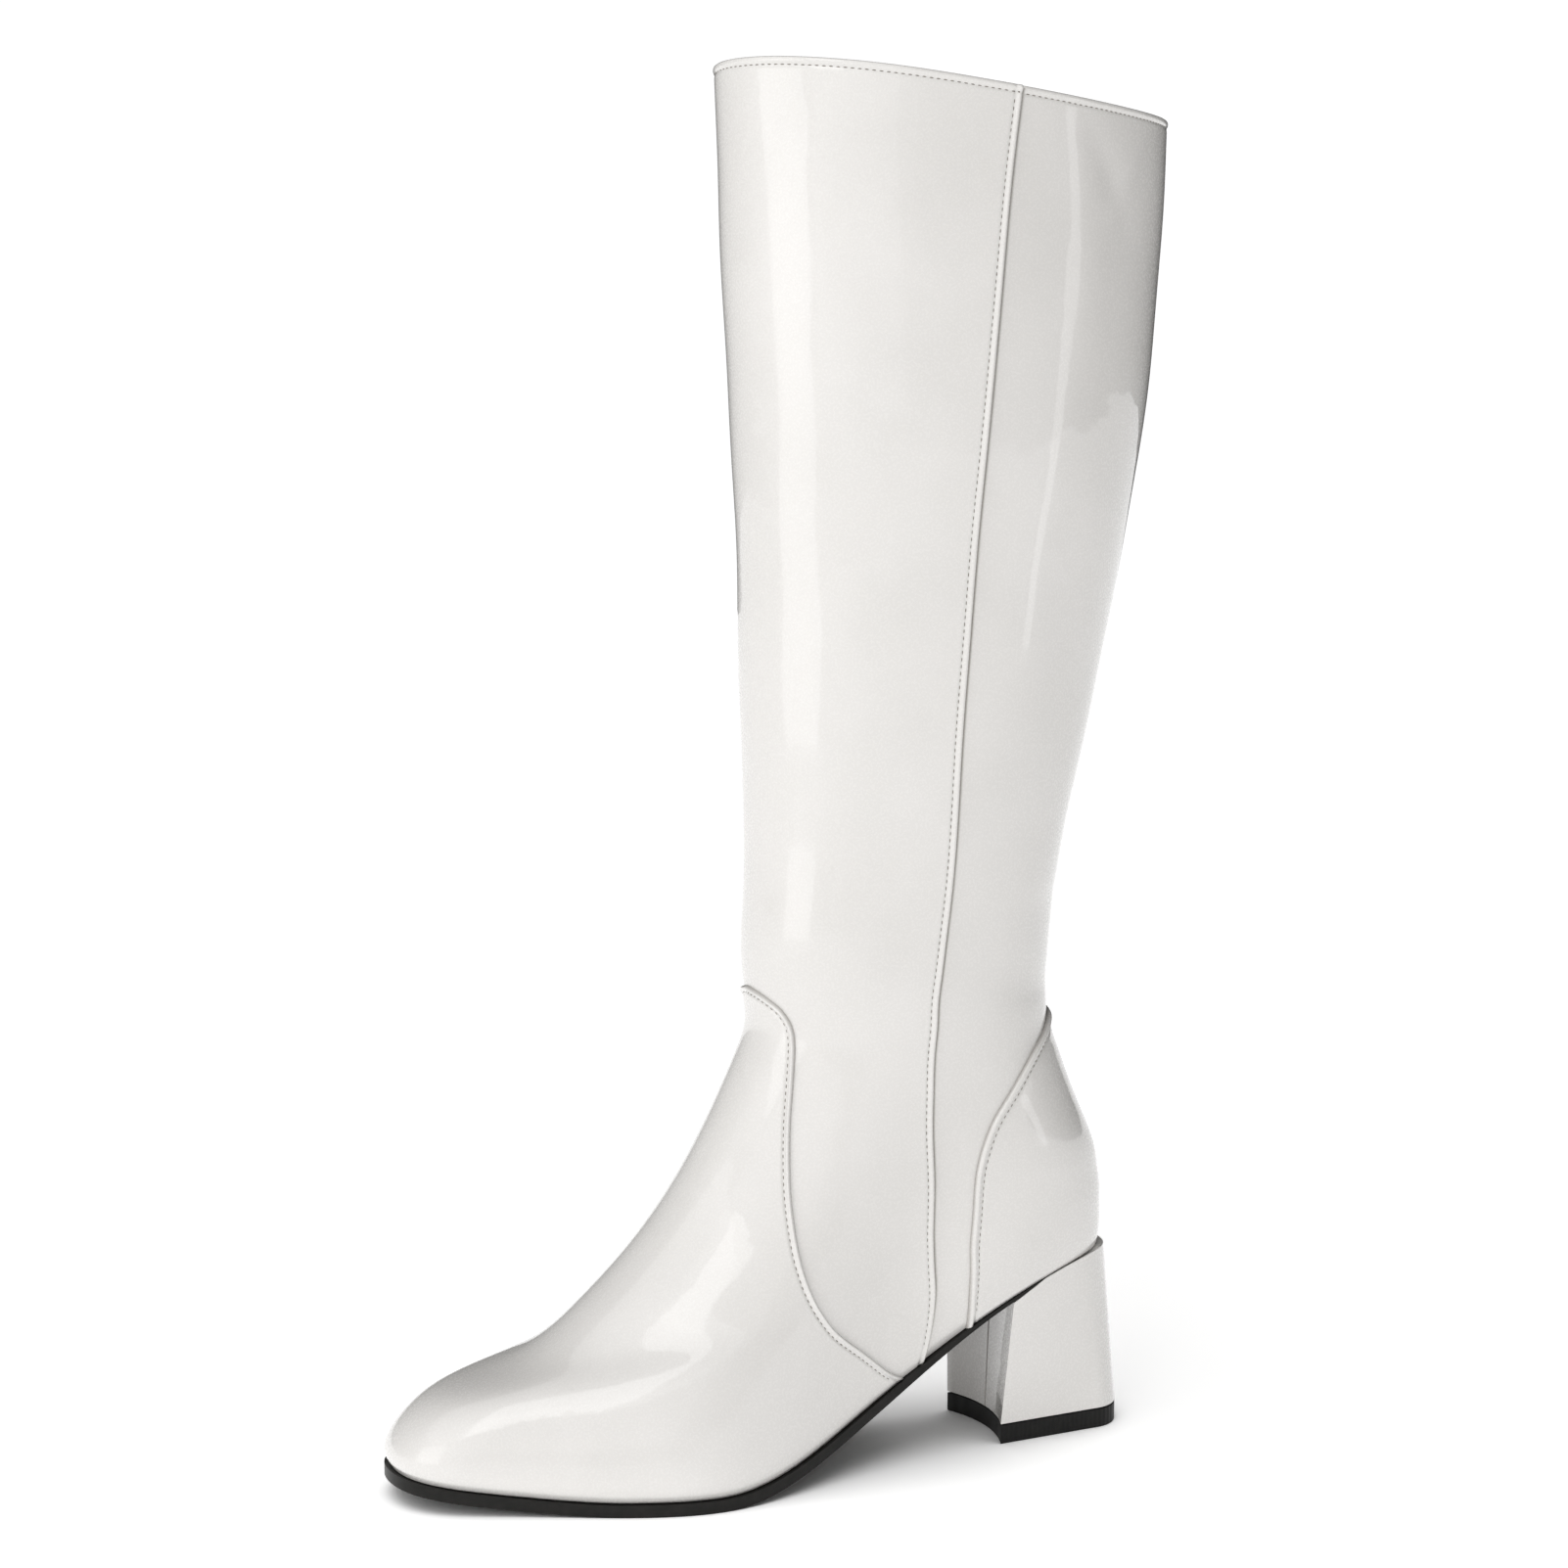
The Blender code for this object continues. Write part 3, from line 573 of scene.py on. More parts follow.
def sewingThread(name):
    made, nodes, links, shader = newMaterial(name)
    twist = noiseNode(nodes, links, threadLook["twist"], 2.0)
    colour = rampNode(nodes, links, twist.outputs["Fac"],
                      ((0.35, threadLook["dark"]), (0.65, threadLook["light"])))
    links.new(colour.outputs["Color"], shader.inputs["Base Color"])
    shader.inputs["Roughness"].default_value = threadLook["roughness"]
    strands = bumpNode(nodes, links, twist.outputs["Fac"], *threadLook["bump"])
    links.new(strands, shader.inputs["Normal"])
    return made


patent = whitePatent("whitePatent")
rubberEdge = blackRubber("blackSole", **rubberLook["edge"])
rubberTread = blackRubber("blackTopPiece", **rubberLook["tread"])
lining = wovenLining("paleLining")
thread = sewingThread("threadWithPaintedShade")
print("materials made")

# Upper: one wall from the feather line over the folded collar and down its lining
upperBuild = {
    "wall": 1.8 * mm,
    "fold": 0.9 * mm,        # radius of the folded collar edge
    "facing": 18.0 * mm,     # leather turned in at the collar
    "axis": 50.0 * mm,       # middle of the shaft, forward of the heel back
    "seamFine": 0.00055,     # column spacing by a side seam, as a turn
    "fineFrom": -0.0036,     # behind the seam
    "fineTo": 0.0130,        # in front of it
    "widening": 0.16,
    "coarse": 0.0052,
    "lastGap": 0.005,
    "footTop": 0.36,         # rise over the foot's rows
    "lowRows": 0.35,         # how much closer together the lowest rows are
    "collarZone": 6.0 * mm,
    "footRows": 64,
    "shaftRows": 112,
    "collarRows": 22,
    "foldRows": 8,
    "liningRows": 40,
}


def seamColumns():
    # columns of a half section, close together over the seam's fold and stitches
    b = upperBuild
    fine = np.arange(b["fineFrom"], b["fineTo"], b["seamFine"])

    def widening(room):
        out = [0.0]
        while out[-1] < room - b["lastGap"]:
            out.append(out[-1] + min(b["coarse"], b["seamFine"] + b["widening"] * out[-1]))
        return np.array(out[1:]) * room / out[-1]

    ahead = fine[-1] + widening(0.25 - fine[-1])
    behind = fine[0] - widening(0.25 + fine[0])
    half = 0.25 - np.concatenate((ahead[::-1], fine[::-1], behind))
    half[0], half[-1] = 0.0, 0.5
    return np.concatenate((half, 1 - half[-2::-1]))


def seamTurn(column, rise):
    # the columns lean with the side seams
    shift = sideSeam(rise)[..., 0] - 0.25
    around = np.sin(2 * math.pi * column)
    return column + shift * around * np.abs(around)


def upperProfile():
    # rows as (rise, kind, amount): 0 outer leather, 1 fold by angle, 2 lining
    b = upperBuild
    collarStart = 1 - b["collarZone"] / topline["shaftLength"]
    top = 1 - b["fold"] / topline["shaftLength"]
    share = np.linspace(0, 1, b["footRows"])
    rows = [(rise, 0, 0.0) for rise in b["footTop"] * (share + b["lowRows"] * (share**2 - share))]
    rows += [(rise, 0, 0.0) for rise in np.linspace(b["footTop"], collarStart, b["shaftRows"])[1:]]
    rows += [(rise, 0, 0.0) for rise in np.linspace(collarStart, top, b["collarRows"])[1:]]
    rows += [(top, 1, angle) for angle in np.linspace(0, math.pi, b["foldRows"] + 1)[1:-1]]
    rows += [(rise, 2, 0.0) for rise in np.linspace(top, 0.0, b["liningRows"])]
    return np.array(rows)


def buildUpper():
    b = upperBuild
    profile = upperProfile()

    def place(column, row):
        rise, kind, angle = profile[row.astype(int)].T
        turn = seamTurn(column, rise)
        face = leather(turn, rise)
        out = outward(turn, rise)
        up = slopes(turn, rise)[1]
        up /= np.linalg.norm(up, axis=-1, keepdims=True)
        radius = (b["wall"] / 2 + lapHeight(turn, rise) / 2)[:, None]
        folded = face - out * radius * (1 - np.cos(angle))[:, None]
        folded = folded + up * b["fold"] * np.sin(angle)[:, None]
        inside = surface(turn, rise) - out * b["wall"]
        return np.where((kind == 0)[:, None], face, np.where((kind == 1)[:, None], folded, inside))

    # painted shadow just behind the front panel's folded lap edge
    def shade(column, row):
        rise, kind = profile[row.astype(int)].T[:2]
        ahead = seamAhead(seamTurn(column, rise), rise)
        dark = bump(ahead, sideSeams["shadeAt"], sideSeams["shadeWidth"])
        return sideSeams["shade"] * dark * (kind == 0)

    bm = sheet(bmesh.new(), seamColumns(), np.arange(len(profile)), place, shade)
    rim = [edge for edge in bm.edges if edge.is_boundary]
    bmesh.ops.bridge_loops(bm, edges=rim)
    bmesh.ops.recalc_face_normals(bm, faces=bm.faces)
    # lining below the turned-in leather
    liningTop = surface(0.0, 1.0)[2] - b["facing"]
    for face in bm.faces:
        centre = face.calc_center_median()
        fromAxis = centre.x, centre.y - (last["back"] - b["axis"])
        inward = face.normal.x * fromAxis[0] + face.normal.y * fromAxis[1] < 0
        face.material_index = 1 if inward and centre.z < liningTop else 0
    return finishMesh("upperLeather", bm, (patent, lining), sharp=70)


ride(buildUpper(), "patent", "upper")
print("upper made")

# Vamp and counter: leather over the upper, with a rolled edge along the seam
vampBuild = {
    "centre": 0.0,
    "thickness": 0.95 * mm,
    "bead": 0.55 * mm,          # how far the rolled edge stands over the leather
    "beadAt": 0.75 * mm,
    "beadWidth": 0.60 * mm,
    "edgeRound": 0.45 * mm,
    "cutEdge": 0.15 * mm,       # height of the edge itself
    "under": 0.12 * mm,         # its underside over the upper
    "hem": 0.35,                # share of its height left at the sole
    "hemBase": 0.3 * mm,
    "hemRise": 0.006,
    "shade": 0.6,               # painted shade along the cut edge
    "shadeWidth": 0.32 * mm,
    "channel": 0.30 * mm,
    "channelAt": 2.1 * mm,
    "channelWidth": 0.50 * mm,
    "length": 0.165,            # from the seam to the pole of the grid
    "fine": 0.20 * mm,
    "fineReach": 9.0 * mm,
    "widening": 0.10,
    "coarse": 2.2 * mm,
    "columns": 230,
}
counterBuild = dict(vampBuild, centre=0.5, hem=1.0, bead=0.75 * mm, beadAt=1.15 * mm,
                    beadWidth=0.85 * mm, channelAt=2.9 * mm, length=0.085, columns=190, coarse=1.5 * mm)
seamSamples = 800


def lengthAlong(points):
    return np.concatenate(([0.0], np.cumsum(np.linalg.norm(np.diff(points, axis=0), axis=1))))


def seamCurve(table, centre, count):
    # points along a seam from the outer corner over the middle to the inner one, evenly spaced
    turn, rise = np.array(table).T
    path = naturalSpline(np.linspace(0, 1, len(table)), np.stack((turn, rise), -1))
    fine = path(np.linspace(0, 1, seamSamples))
    fine[:, 1] = np.clip(fine[:, 1], 0, None)
    length = lengthAlong(surface(*fine.T))
    even = np.linspace(0, length[-1], count)
    half = np.stack([np.interp(even, length, fine[:, k]) for k in range(2)], -1) - (centre, 0.0)
    half[0] = (0.0, half[0, 1])
    return np.concatenate((half[::-1], half[1:] * (-1, 1)))


def seamDistance(points, curve, centre):
    # least distance from each point to the seam, the seam carried on past the feather line
    line = surface(curve[:, 0] + centre, curve[:, 1])
    ends = [line[0] + (line[0] - line[3]) * 4, line[-1] + (line[-1] - line[-4]) * 4]
    line = np.concatenate((ends[:1], line, ends[1:]))
    start, along = line[:-1], np.diff(line, axis=0)
    best = np.full(len(points), 1.0)
    for a, d in zip(start, along):
        share = np.clip(((points - a) @ d) / (d @ d), 0, 1)
        best = np.minimum(best, np.linalg.norm(points - a - share[:, None] * d, axis=1))
    return best


def overlayHeight(distance, rise, b):
    edge = np.sqrt(np.clip(1 - (1 - np.clip(distance / b["edgeRound"], 0, 1))**2, 0, 1))
    height = b["cutEdge"] + (b["thickness"] - b["cutEdge"]) * edge
    height = height + b["bead"] * bump(distance, b["beadAt"], b["beadWidth"]) * edge
    height = height - b["channel"] * bump(distance, b["channelAt"], b["channelWidth"])
    tuck = smoothStep(rise / b["hemRise"])
    return b["hemBase"] + (height - b["hemBase"]) * (b["hem"] + (1 - b["hem"]) * tuck)


def gradedRows(b):
    # from the seam to the pole, close together at the seam
    at = [0.0]
    while at[-1] < b["length"]:
        extra = max(0.0, at[-1] - b["fineReach"])
        at.append(at[-1] + min(b["coarse"], b["fine"] + b["widening"] * extra))
    return np.array(at) / at[-1]


def buildOverlay(name, table, b):
    curve = seamCurve(table, b["centre"], b["columns"] // 2)
    rows = gradedRows(b)

    def place(raised):
        def at(column, row):
            scale = 1 - rows[row.astype(int)]
            turn = curve[column.astype(int), 0] * scale + b["centre"]
            rise = curve[column.astype(int), 1] * scale
            if not raised:
                return leather(turn, rise, b["under"], detail=False)
            distance = seamDistance(surface(turn, rise), curve, b["centre"])
            return leather(turn, rise, overlayHeight(distance, rise, b), detail=False)
        return at

    # painted shade along the overlay's cut edge
    def shade(column, row):
        scale = 1 - rows[row.astype(int)]
        around = curve[column.astype(int)] * scale[:, None]
        distance = seamDistance(surface(around[:, 0] + b["centre"], around[:, 1]), curve, b["centre"])
        return b["shade"] * np.clip(1 - distance / b["shadeWidth"], 0, 1)

    bm = closedWall(np.arange(len(curve)), np.arange(len(rows)), place(True), place(False), shade)
    return finishMesh(name, bm, (patent,), sharp=80)


ride(buildOverlay("vampLeather", vampSeamTable, vampBuild), "patent", "vamp")
ride(buildOverlay("counterLeather", counterSeamTable, counterBuild), "patent", "counter")
print("vamp and counter made")

# Sole: top and underside as sheets between the two sides of the feather line
soleBuild = {
    "margin": 2.2 * mm,
    "end": 0.0290,            # forward of the heel back
    "heelFront": 0.0394,
    "thinningStart": 0.0900,
    "shank": 1.3 * mm,
    "seatEdge": 0.25 * mm,
    "tuck": 0.8 * mm,         # edge drawn in through the shank
    "crowd": 0.75,            # columns closer together towards both edges
    "rows": 90,
    "columns": 24,
    "edge": 0.45 * mm,
}


def featherTurn(forward):
    front, back = sections[0, 0], sections[0, 2]
    return math.acos(1 - 2 * (-forward - front) / (back - front)) / (2 * math.pi)


def featherPoint(turn, side, out):
    # side runs from -1 on the inner edge to 1 on the outer one, at equal turns
    outer = surface(turn, 0.0) + outward(turn, 0.0) * out
    inner = surface(1 - turn, 0.0) + outward(1 - turn, 0.0) * out
    return inner + (outer - inner) * ((side + 1) / 2)[:, None]


def forwardOf(points):
    return (last["back"] - points[:, 1]) / last["footLength"]


def soleThickness(forward):
    # thins through the shank and runs out behind the heel's breast
    b = soleBuild
    at = forward * last["footLength"]
    shank = smoothStep((b["thinningStart"] - at) / (b["thinningStart"] - b["heelFront"]))
    tail = smoothStep((b["heelFront"] - at) / (b["heelFront"] - b["end"]))
    thickness = last["soleThickness"] - (last["soleThickness"] - b["shank"]) * shank
    return thickness - (b["shank"] - b["seatEdge"]) * tail


def soleMargin(turn):
    b = soleBuild
    at = forwardOf(surface(turn, 0.0)) * last["footLength"]
    tucked = smoothStep((b["thinningStart"] - at) / (b["thinningStart"] - b["end"]))
    return (b["margin"] - b["tuck"] * tucked)[:, None]


def crowdedEdges(count):
    # from -1 to 1, closer together towards both ends
    even = np.linspace(-1, 1, count)
    return (1 - soleBuild["crowd"]) * even + soleBuild["crowd"] * np.sin(even * math.pi / 2)


def buildOutsole():
    b = soleBuild
    turns = np.linspace(0.0, featherTurn(b["end"]), b["rows"])

    def level(under):
        def at(side, turn):
            points = featherPoint(turn, side, soleMargin(turn))
            forward = forwardOf(points)
            points[:, 2] = soleTop(forward) - (soleThickness(forward) if under else 0.0)
            return points
        return at

    bm = closedWall(crowdedEdges(b["columns"]), turns, level(False), level(True))
    piece = finishMesh("outsoleEdge", bm, (rubberEdge,), sharp=35)
    addBevel(piece, b["edge"])
    return piece


insoleBuild = {
    "inset": 2.7 * mm,
    "thickness": 2.0 * mm,
    "rows": 70,
    "columns": 20,
    "cushion": 0.5 * mm,
    "cushionEnd": 0.2,        # share of the foot where it starts to fade, and over which it fades
    "edge": 0.4 * mm,
}


def buildInsole():
    b = insoleBuild

    def level(above):
        def at(side, turn):
            points = featherPoint(turn, side, -b["inset"])
            forward = forwardOf(points)
            fade = smoothStep((forward - b["cushionEnd"]) / b["cushionEnd"])
            soft = b["cushion"] * (1 - side**4) * (1 - fade)
            points[:, 2] = soleTop(forward) + last["gap"] + (b["thickness"] + soft if above else 0.0)
            return points
        return at

    turns = np.linspace(0.0, 0.5, b["rows"])
    bm = closedWall(crowdedEdges(b["columns"]), turns, level(True), level(False))
    piece = finishMesh("insoleSock", bm, (lining,), sharp=35)
    addBevel(piece, b["edge"])
    return piece


ride(buildOutsole(), "black_sole", "outsole")
ride(buildInsole(), "lining", "insole")
print("sole made")

# Heel: a flared block with a hollow breast, covered in the same leather, on a black top piece
heelBuild = {
    "front": 0.0394,
    "margin": 1.4 * mm,
    "topBack": 2.0 * mm,
    "baseWidth": 0.0370,
    "baseFront": 0.0409,
    "baseTaper": 3.6 * mm,
    "baseCorner": 0.0130,
    "baseBack": 0.0080,
    "skew": 1.9 * mm,
    "hollow": 4.0 * mm,
    "lift": 6.1 * mm,
    "breastPoints": 13,
    "breastCrowd": 1.6,         # points closer together by the joint
    "sidePoints": 36,
    "levels": 24,
    "edge": 0.5 * mm,
    "treadEdge": 0.35 * mm,
    "joint": 0.35 * mm,         # depth of the cover's joint down the breast
    "jointShade": 0.8,
    "breastShade": 0.45,        # the breast stands in the boot's own shadow
}


def ringOfHalf(x, y):
    # a ring from one half's points, front middle to back middle, its inner front corner forward
    h = heelBuild
    ring = np.stack((np.concatenate((x, -x[-2:0:-1])), np.concatenate((y, y[-2:0:-1]))), -1)
    lean = h["skew"] * ring[:, 0] / h["baseWidth"] * np.clip(-ring[:, 1] / h["baseFront"], 0.0, 1.0)
    return np.stack((ring[:, 0], ring[:, 1] + lean + last["back"], np.zeros(len(ring))), -1)


def heelBase():
    h = heelBuild
    half = h["baseWidth"] / 2
    narrow = half - h["baseTaper"]
    length = h["baseBack"] - h["baseCorner"] + h["baseFront"]
    corner = h["sidePoints"] // 2 + 1
    breast = np.linspace(0.0, 1.0, h["breastPoints"])[:-1]**h["breastCrowd"]
    side = np.linspace(0.0, 1.0, h["sidePoints"] - corner + 1)[:-1]
    turn = np.linspace(0.0, math.pi / 2, corner)
    flat = (narrow - h["baseCorner"]) * (1 - np.sin(turn)**4)
    x = np.concatenate((half * breast, half - h["baseTaper"] * side,
                        flat + h["baseCorner"] * np.cos(turn)))
    y = np.concatenate((h["hollow"] * (1 - breast**2), length * side,
                        length + h["baseCorner"] * np.sin(turn)))
    return ringOfHalf(x, y - h["baseFront"])


def heelTop():
    h = heelBuild
    turns = np.linspace(featherTurn(h["front"]), 0.5, h["sidePoints"])
    side = surface(turns, 0.0) + outward(turns, 0.0) * h["margin"]
    other = surface(1 - turns, 0.0) + outward(1 - turns, 0.0) * h["margin"]
    breast = np.linspace(0.0, 1.0, h["breastPoints"])[:-1, None]**h["breastCrowd"]
    middle = (side[0] + other[0]) / 2
    hollow = np.array((0.0, h["hollow"], 0.0)) * (1 - breast**2)
    ring = np.concatenate((middle + (side[0] - middle) * breast + hollow, side,
                           other[-2::-1], (middle + (other[0] - middle) * breast + hollow)[:0:-1]))
    reach = smoothStep(1 + (ring[:, 1] - last["back"]) / h["front"])
    ring[:, 1] += h["topBack"] * reach
    forward = forwardOf(ring)
    under = forward * last["footLength"] > soleBuild["end"]
    ring[:, 2] = soleTop(np.clip(forward, 0, None)) - under * (soleThickness(forward) + last["gap"])
    return ring


def buildHeel():
    h = heelBuild
    base, top = heelBase(), heelTop()
    base[:, 2] = h["lift"] + last["gap"]
    base, top = (np.concatenate((ring, ring[:1])) for ring in (base, top))

    def place(column, level):
        column = column.astype(int)
        points = base[column] + (top[column] - base[column]) * level[:, None]
        points[:, 1] += joint(column, level) * h["joint"]
        return points

    def joint(column, level):
        return np.minimum(column, len(base) - 1 - column) == 0

    def shade(column, level):
        inBreast = np.minimum(column, len(base) - 1 - column) < h["breastPoints"] - 1
        return np.where(joint(column, level), h["jointShade"], inBreast * h["breastShade"])

    bm = sheet(bmesh.new(), np.arange(len(base)), np.linspace(0, 1, h["levels"]), place, shade)
    bmesh.ops.holes_fill(bm, edges=[edge for edge in bm.edges if edge.is_boundary])
    bmesh.ops.recalc_face_normals(bm, faces=bm.faces)
    piece = finishMesh("heelBlock", bm, (patent,), sharp=35)
    addBevel(piece, h["edge"], segments=4, angle=42)
    return piece


def buildHeelTopPiece():
    h = heelBuild
    ring = np.concatenate((heelBase(), heelBase()[:1]))

    def place(column, level):
        points = ring[column.astype(int)].copy()
        points[:, 2] = level * h["lift"]
        return points

    bm = sheet(bmesh.new(), np.arange(len(ring)), np.array((0.0, 1.0)), place)
    bmesh.ops.holes_fill(bm, edges=[edge for edge in bm.edges if edge.is_boundary])
    bmesh.ops.recalc_face_normals(bm, faces=bm.faces)
    piece = finishMesh("heelTopPiece", bm, (rubberTread,), sharp=35)
    addBevel(piece, h["treadEdge"])
    return piece


ride(buildHeel(), "heel_cover", "heel")
ride(buildHeelTopPiece(), "black_sole", "heel_top_piece")
print("heel made")

# Stitching: short lengths of thread sunk in their channels
stitchBuild = {
    "pitch": 2.1 * mm,
    "length": 1.45 * mm,
    "width": 0.46 * mm,
    "height": 0.34 * mm,
    "sink": 0.06 * mm,
    "around": 6,
    "rings": 5,
    "sideRises": (0.012, 0.992),
    "sideSamples": 900,
    "toplineSamples": 1200,
    "overlaySamples": 500,
    "lowest": 0.008,         # rise where an overlay's stitches end over the sole
}


def evenPath(turn, rise, place, pitch):
    length = lengthAlong(place(turn, rise))
    at = np.arange(pitch / 2, length[-1], pitch)
    return np.interp(at, length, turn), np.interp(at, length, rise)


def stitchLine(name, turn, rise, place):
    s = stitchBuild
    turn, rise = evenPath(turn, rise, place, s["pitch"])
    points, outs = place(turn, rise), outward(turn, rise)
    alongs = np.gradient(points, axis=0)
    bm = bmesh.new()
    for point, out, along in zip(points, outs, alongs):
        x = Vector(along).normalized()
        z = (Vector(out) - x * x.dot(Vector(out))).normalized()
        y = z.cross(x)
        turnTo = Matrix((x, y, z)).transposed().to_4x4()
        size = Matrix.Diagonal((s["length"] / 2, s["width"] / 2, s["height"] / 2, 1.0))
        centre = Matrix.Translation(Vector(point) - z * s["sink"])
        bmesh.ops.create_uvsphere(bm, u_segments=s["around"], v_segments=s["rings"], radius=1.0,
                                  matrix=centre @ turnTo @ size)
    bmesh.ops.recalc_face_normals(bm, faces=bm.faces)
    ride(finishMesh(name, bm, (thread,), sharp=180), "patent")


def sideStitches():
    rises = np.linspace(*stitchBuild["sideRises"], stitchBuild["sideSamples"])
    around = np.linalg.norm(slopes(sideSeam(rises)[:, 0], rises)[0], axis=1)
    turn = sideSeam(rises)[:, 0] - sideSeams["channelAt"] / around
    stitchLine("sideStitchesOuter", turn, rises, leather)
    stitchLine("sideStitchesInner", 1 - turn, rises, leather)


def toplineStitches():
    turns = np.linspace(0.0, 1.0, stitchBuild["toplineSamples"])
    rise = np.full(len(turns), 1 - topline["channelAt"] / topline["shaftLength"])
    stitchLine("toplineStitches", turns, rise, leather)


def overlayStitches(name, table, b):
    # the seam moved inwards by the channel's distance
    curve = seamCurve(table, b["centre"], stitchBuild["overlaySamples"])
    turn, rise = curve[:, 0] + b["centre"], curve[:, 1]
    around, up = slopes(turn, rise)
    seam = surface(turn, rise)
    inward = np.cross(outward(turn, rise), np.gradient(seam, axis=0))
    inward /= np.linalg.norm(inward, axis=1, keepdims=True)
    middle = surface(b["centre"], 0.0)
    inward *= np.sign(((middle - seam) * inward).sum(1))[:, None]
    solved = np.array([np.linalg.lstsq(np.stack((a, u), 1), i, rcond=None)[0]
                       for a, u, i in zip(around, up, inward)])
    turn = turn + solved[:, 0] * b["channelAt"]
    rise = rise + solved[:, 1] * b["channelAt"]
    keep = rise > stitchBuild["lowest"]
    height = b["thickness"] - b["channel"]
    stitchLine(name, turn[keep], rise[keep], lambda t, r: leather(t, r, height, detail=False))


sideStitches()
toplineStitches()
overlayStitches("vampStitches", vampSeamTable, vampBuild)
overlayStitches("counterStitches", counterSeamTable, counterBuild)
print("stitches made")

# Floor, light and camera
studio = {
    "floorSize": 8.0,
    "camera": (0.7823, -0.2999, 0.2904),
    "cameraTurn": (84.56, 0.0, 69.03),
    "lens": 62.95,
    "sensor": 36.0,
    "backdrop": 1.05,        # the white that the camera sees
    "worldTint": (1.0, 0.995, 0.985),
    "lobes": (               # world light: from where, how much
        ((0.88, -0.47, 0.0), 0.77),
        ((-0.36, -0.93, 0.0), 0.50),
    ),
    "lobeReach": (-0.15, 1.0),
    "floorTones": ((0.90, 0.90, 0.90), (0.92, 0.92, 0.92)),
    "floorCloud": 3.0,
    "floorRoughness": 0.9,
    "floorSpecular": 0.1,
    "floorGlow": 0.585,
    "glowReach": 0.10,       # how near the boot hides the floor's glow
    "glowHidden": (0.25, 0.72),
    "softboxes": (           # name, target, azimuth, elevation, distance, width, height, power
        ("stripSoftbox", (0.02, -0.005, 0.32), -70, 0, 1.6, 0.90, 0.78, 2.5),
        ("backStrip", (0.03, 0.05, 0.27), 49, 3, 1.6, 0.17, 0.70, 0.5),
        ("topSoftbox", (0.02, -0.05, 0.05), -38, 42, 1.5, 0.33, 0.85, 1.3),
        ("frontFill", (0.03, 0.0, 0.20), -30, 20, 2.2, 1.6, 1.4, 2.4),
    ),
    "overhead": (-60, 60),   # azimuth, elevation
    "overheadPower": 0.70,
    "overheadSpread": 70,
}


def buildFloor():
    bm = bmesh.new()
    bmesh.ops.create_grid(bm, x_segments=2, y_segments=2, size=studio["floorSize"])
    made, nodes, links, shader = newMaterial("paleFloor")
    cloud = noiseNode(nodes, links, studio["floorCloud"], 2.0)
    colour = rampNode(nodes, links, cloud.outputs["Fac"], tuple(zip((0.3, 0.7), studio["floorTones"])))
    links.new(colour.outputs["Color"], shader.inputs["Base Color"])
    shader.inputs["Roughness"].default_value = studio["floorRoughness"]
    shader.inputs["Specular IOR Level"].default_value = studio["floorSpecular"]
    shader.inputs["Emission Color"].default_value = (1.0, 1.0, 1.0, 1.0)
    # painted contact shadow: the floor's even glow fades where the boot stands near it
    openFloor, glow = nodes.new("ShaderNodeAmbientOcclusion"), nodes.new("ShaderNodeMapRange")
    openFloor.samples = 16
    openFloor.inputs["Distance"].default_value = studio["glowReach"]
    glow.inputs["From Min"].default_value, glow.inputs["From Max"].default_value = studio["glowHidden"]
    glow.inputs["To Max"].default_value = studio["floorGlow"]
    links.new(openFloor.outputs["AO"], glow.inputs["Value"])
    links.new(glow.outputs["Result"], shader.inputs["Emission Strength"])
    finishMesh("floor", bm, (made,), smooth=False)


def awayFrom(azimuth, elevation):
    a, e = math.radians(azimuth), math.radians(elevation)
    return Vector((math.cos(a) * math.cos(e), math.sin(a) * math.cos(e), math.sin(e)))


def hangLight(name, data, target, away, distance):
    light = bpy.data.objects.new(name, data)
    light.location = Vector(target) + away * distance
    light.rotation_euler = away.to_track_quat("Z", "Y").to_euler()
    bpy.context.scene.collection.objects.link(light)


def areaLight(name, target, azimuth, elevation, distance, width, height, power):
    data = bpy.data.lights.new(name, "AREA")
    data.shape = "RECTANGLE"
    data.size = width
    data.size_y = height
    data.energy = power
    hangLight(name, data, target, awayFrom(azimuth, elevation), distance)


def overheadLight():
    data = bpy.data.lights.new("overhead", "SUN")
    data.energy = studio["overheadPower"]
    data.angle = math.radians(studio["overheadSpread"])
    hangLight("overhead", data, (0.0, 0.0, 0.0), awayFrom(*studio["overhead"]), 2)


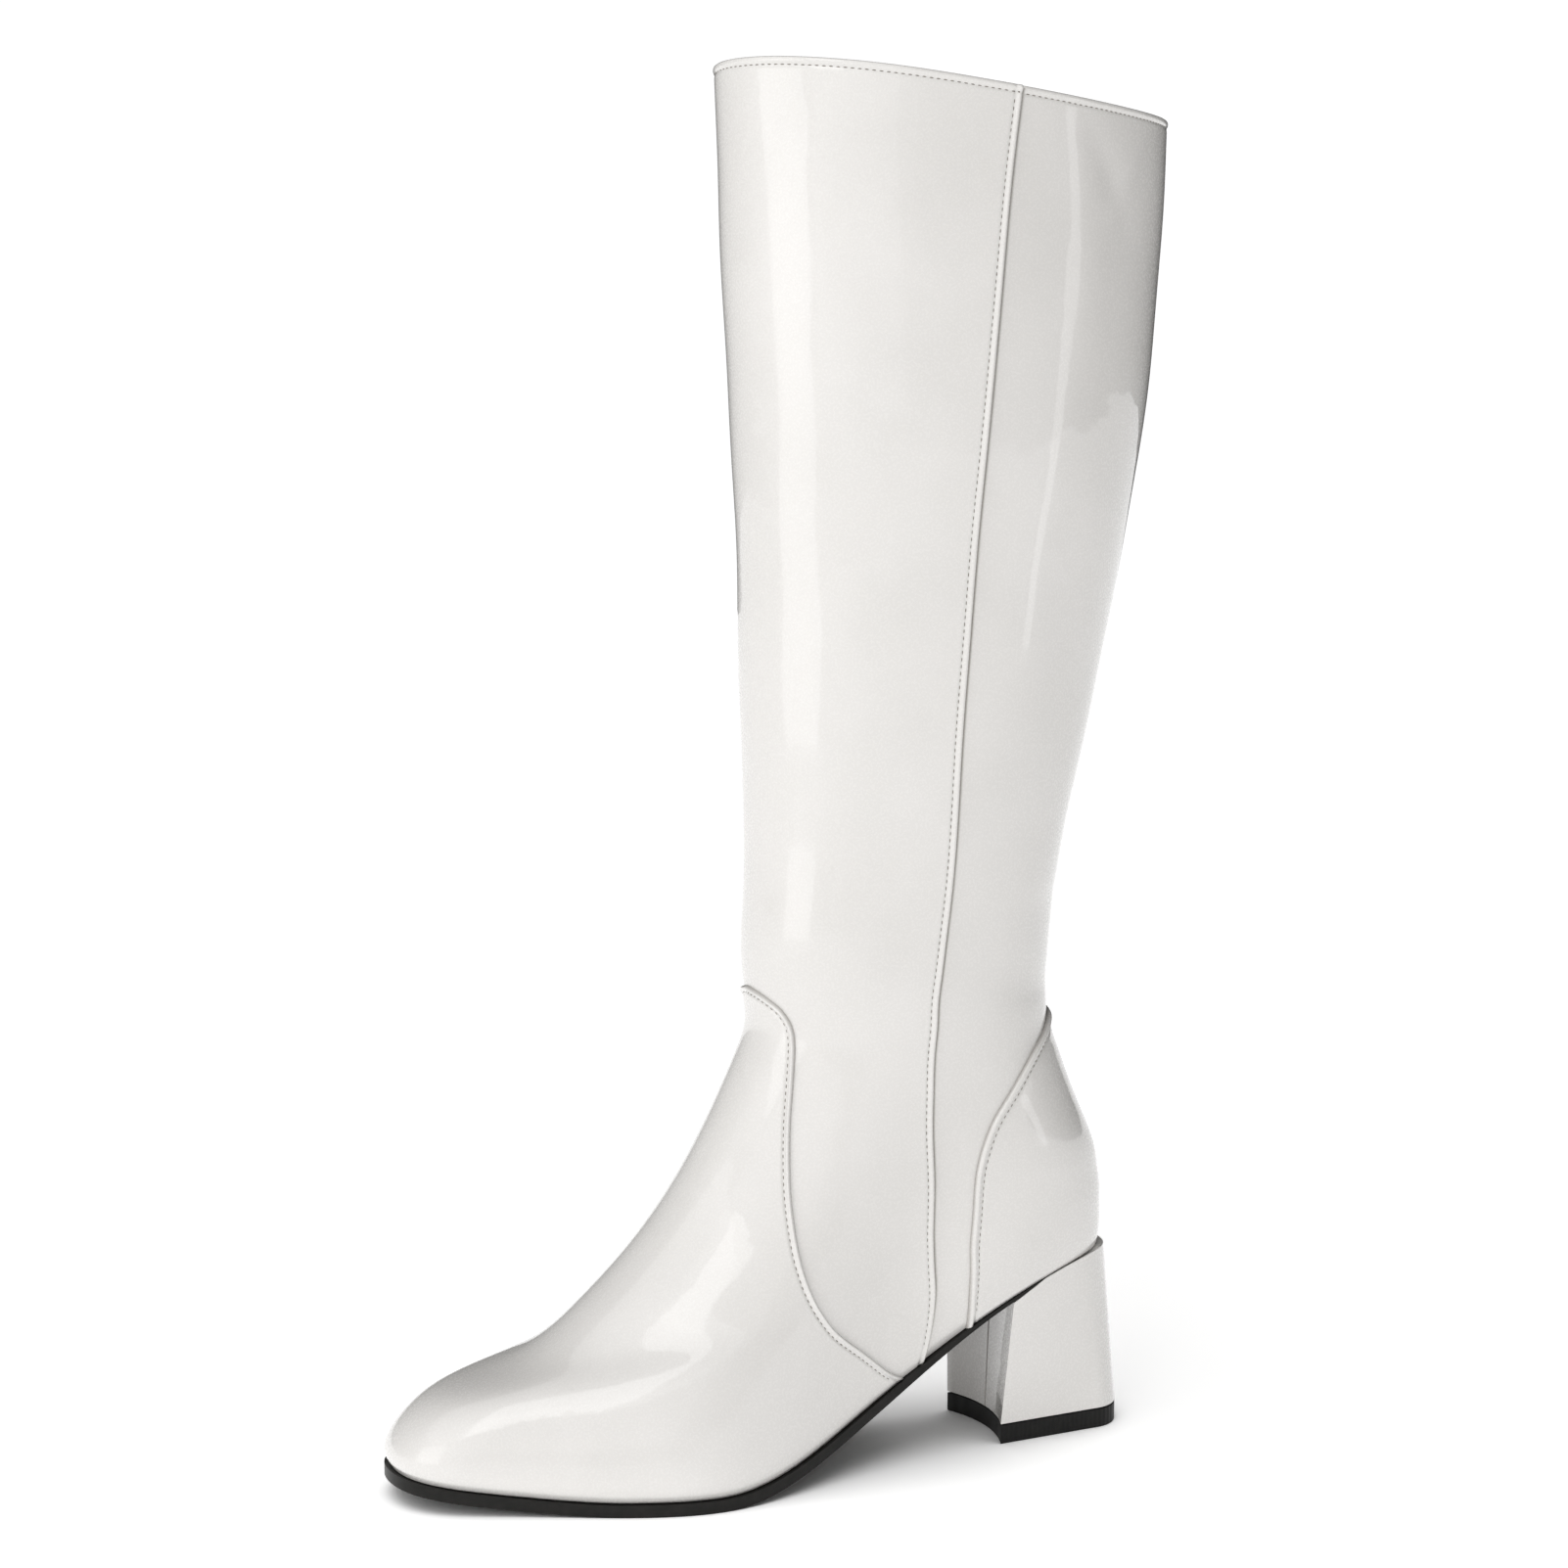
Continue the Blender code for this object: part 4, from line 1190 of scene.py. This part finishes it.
def buildWorld():
    world = bpy.data.worlds.new("studioWorld")
    bpy.context.scene.world = world
    world.use_nodes = True
    nodes, links = world.node_tree.nodes, world.node_tree.links
    output = nodes["World Output"]
    seen, felt = nodes["Background"], nodes.new("ShaderNodeBackground")
    mix, path = nodes.new("ShaderNodeMixShader"), nodes.new("ShaderNodeLightPath")
    seen.inputs["Color"].default_value = (1.0, 1.0, 1.0, 1.0)
    seen.inputs["Strength"].default_value = studio["backdrop"]
    felt.inputs["Color"].default_value = (*studio["worldTint"], 1.0)
    coords = nodes.new("ShaderNodeTexCoord")
    total = None
    for direction, amount in studio["lobes"]:
        kinds = "ShaderNodeVectorMath", "ShaderNodeMapRange", "ShaderNodeMath"
        dot, lobe, add = (nodes.new(kind) for kind in kinds)
        dot.operation = "DOT_PRODUCT"
        dot.inputs[1].default_value = direction
        lobe.interpolation_type = "SMOOTHSTEP"
        reach = lobe.inputs["From Min"], lobe.inputs["From Max"]
        reach[0].default_value, reach[1].default_value = studio["lobeReach"]
        lobe.inputs["To Max"].default_value = amount
        links.new(coords.outputs["Generated"], dot.inputs[0])
        links.new(dot.outputs["Value"], lobe.inputs["Value"])
        links.new(lobe.outputs["Result"], add.inputs[0])
        add.inputs[1].default_value = 0.0
        if total:
            links.new(total, add.inputs[1])
        total = add.outputs["Value"]
    links.new(total, felt.inputs["Strength"])
    links.new(path.outputs["Is Camera Ray"], mix.inputs["Fac"])
    links.new(felt.outputs["Background"], mix.inputs[1])
    links.new(seen.outputs["Background"], mix.inputs[2])
    links.new(mix.outputs["Shader"], output.inputs["Surface"])


def buildCamera():
    data = bpy.data.cameras.new("camera")
    data.lens = studio["lens"]
    data.sensor_width = studio["sensor"]
    camera = bpy.data.objects.new("camera", data)
    camera.location = studio["camera"]
    camera.rotation_euler = [math.radians(angle) for angle in studio["cameraTurn"]]
    bpy.context.scene.collection.objects.link(camera)
    bpy.context.scene.camera = camera


buildFloor()
buildWorld()
for softbox in studio["softboxes"]:
    areaLight(*softbox)
overheadLight()
buildCamera()
bpy.context.scene.view_settings.view_transform = "Standard"
print("studio made")
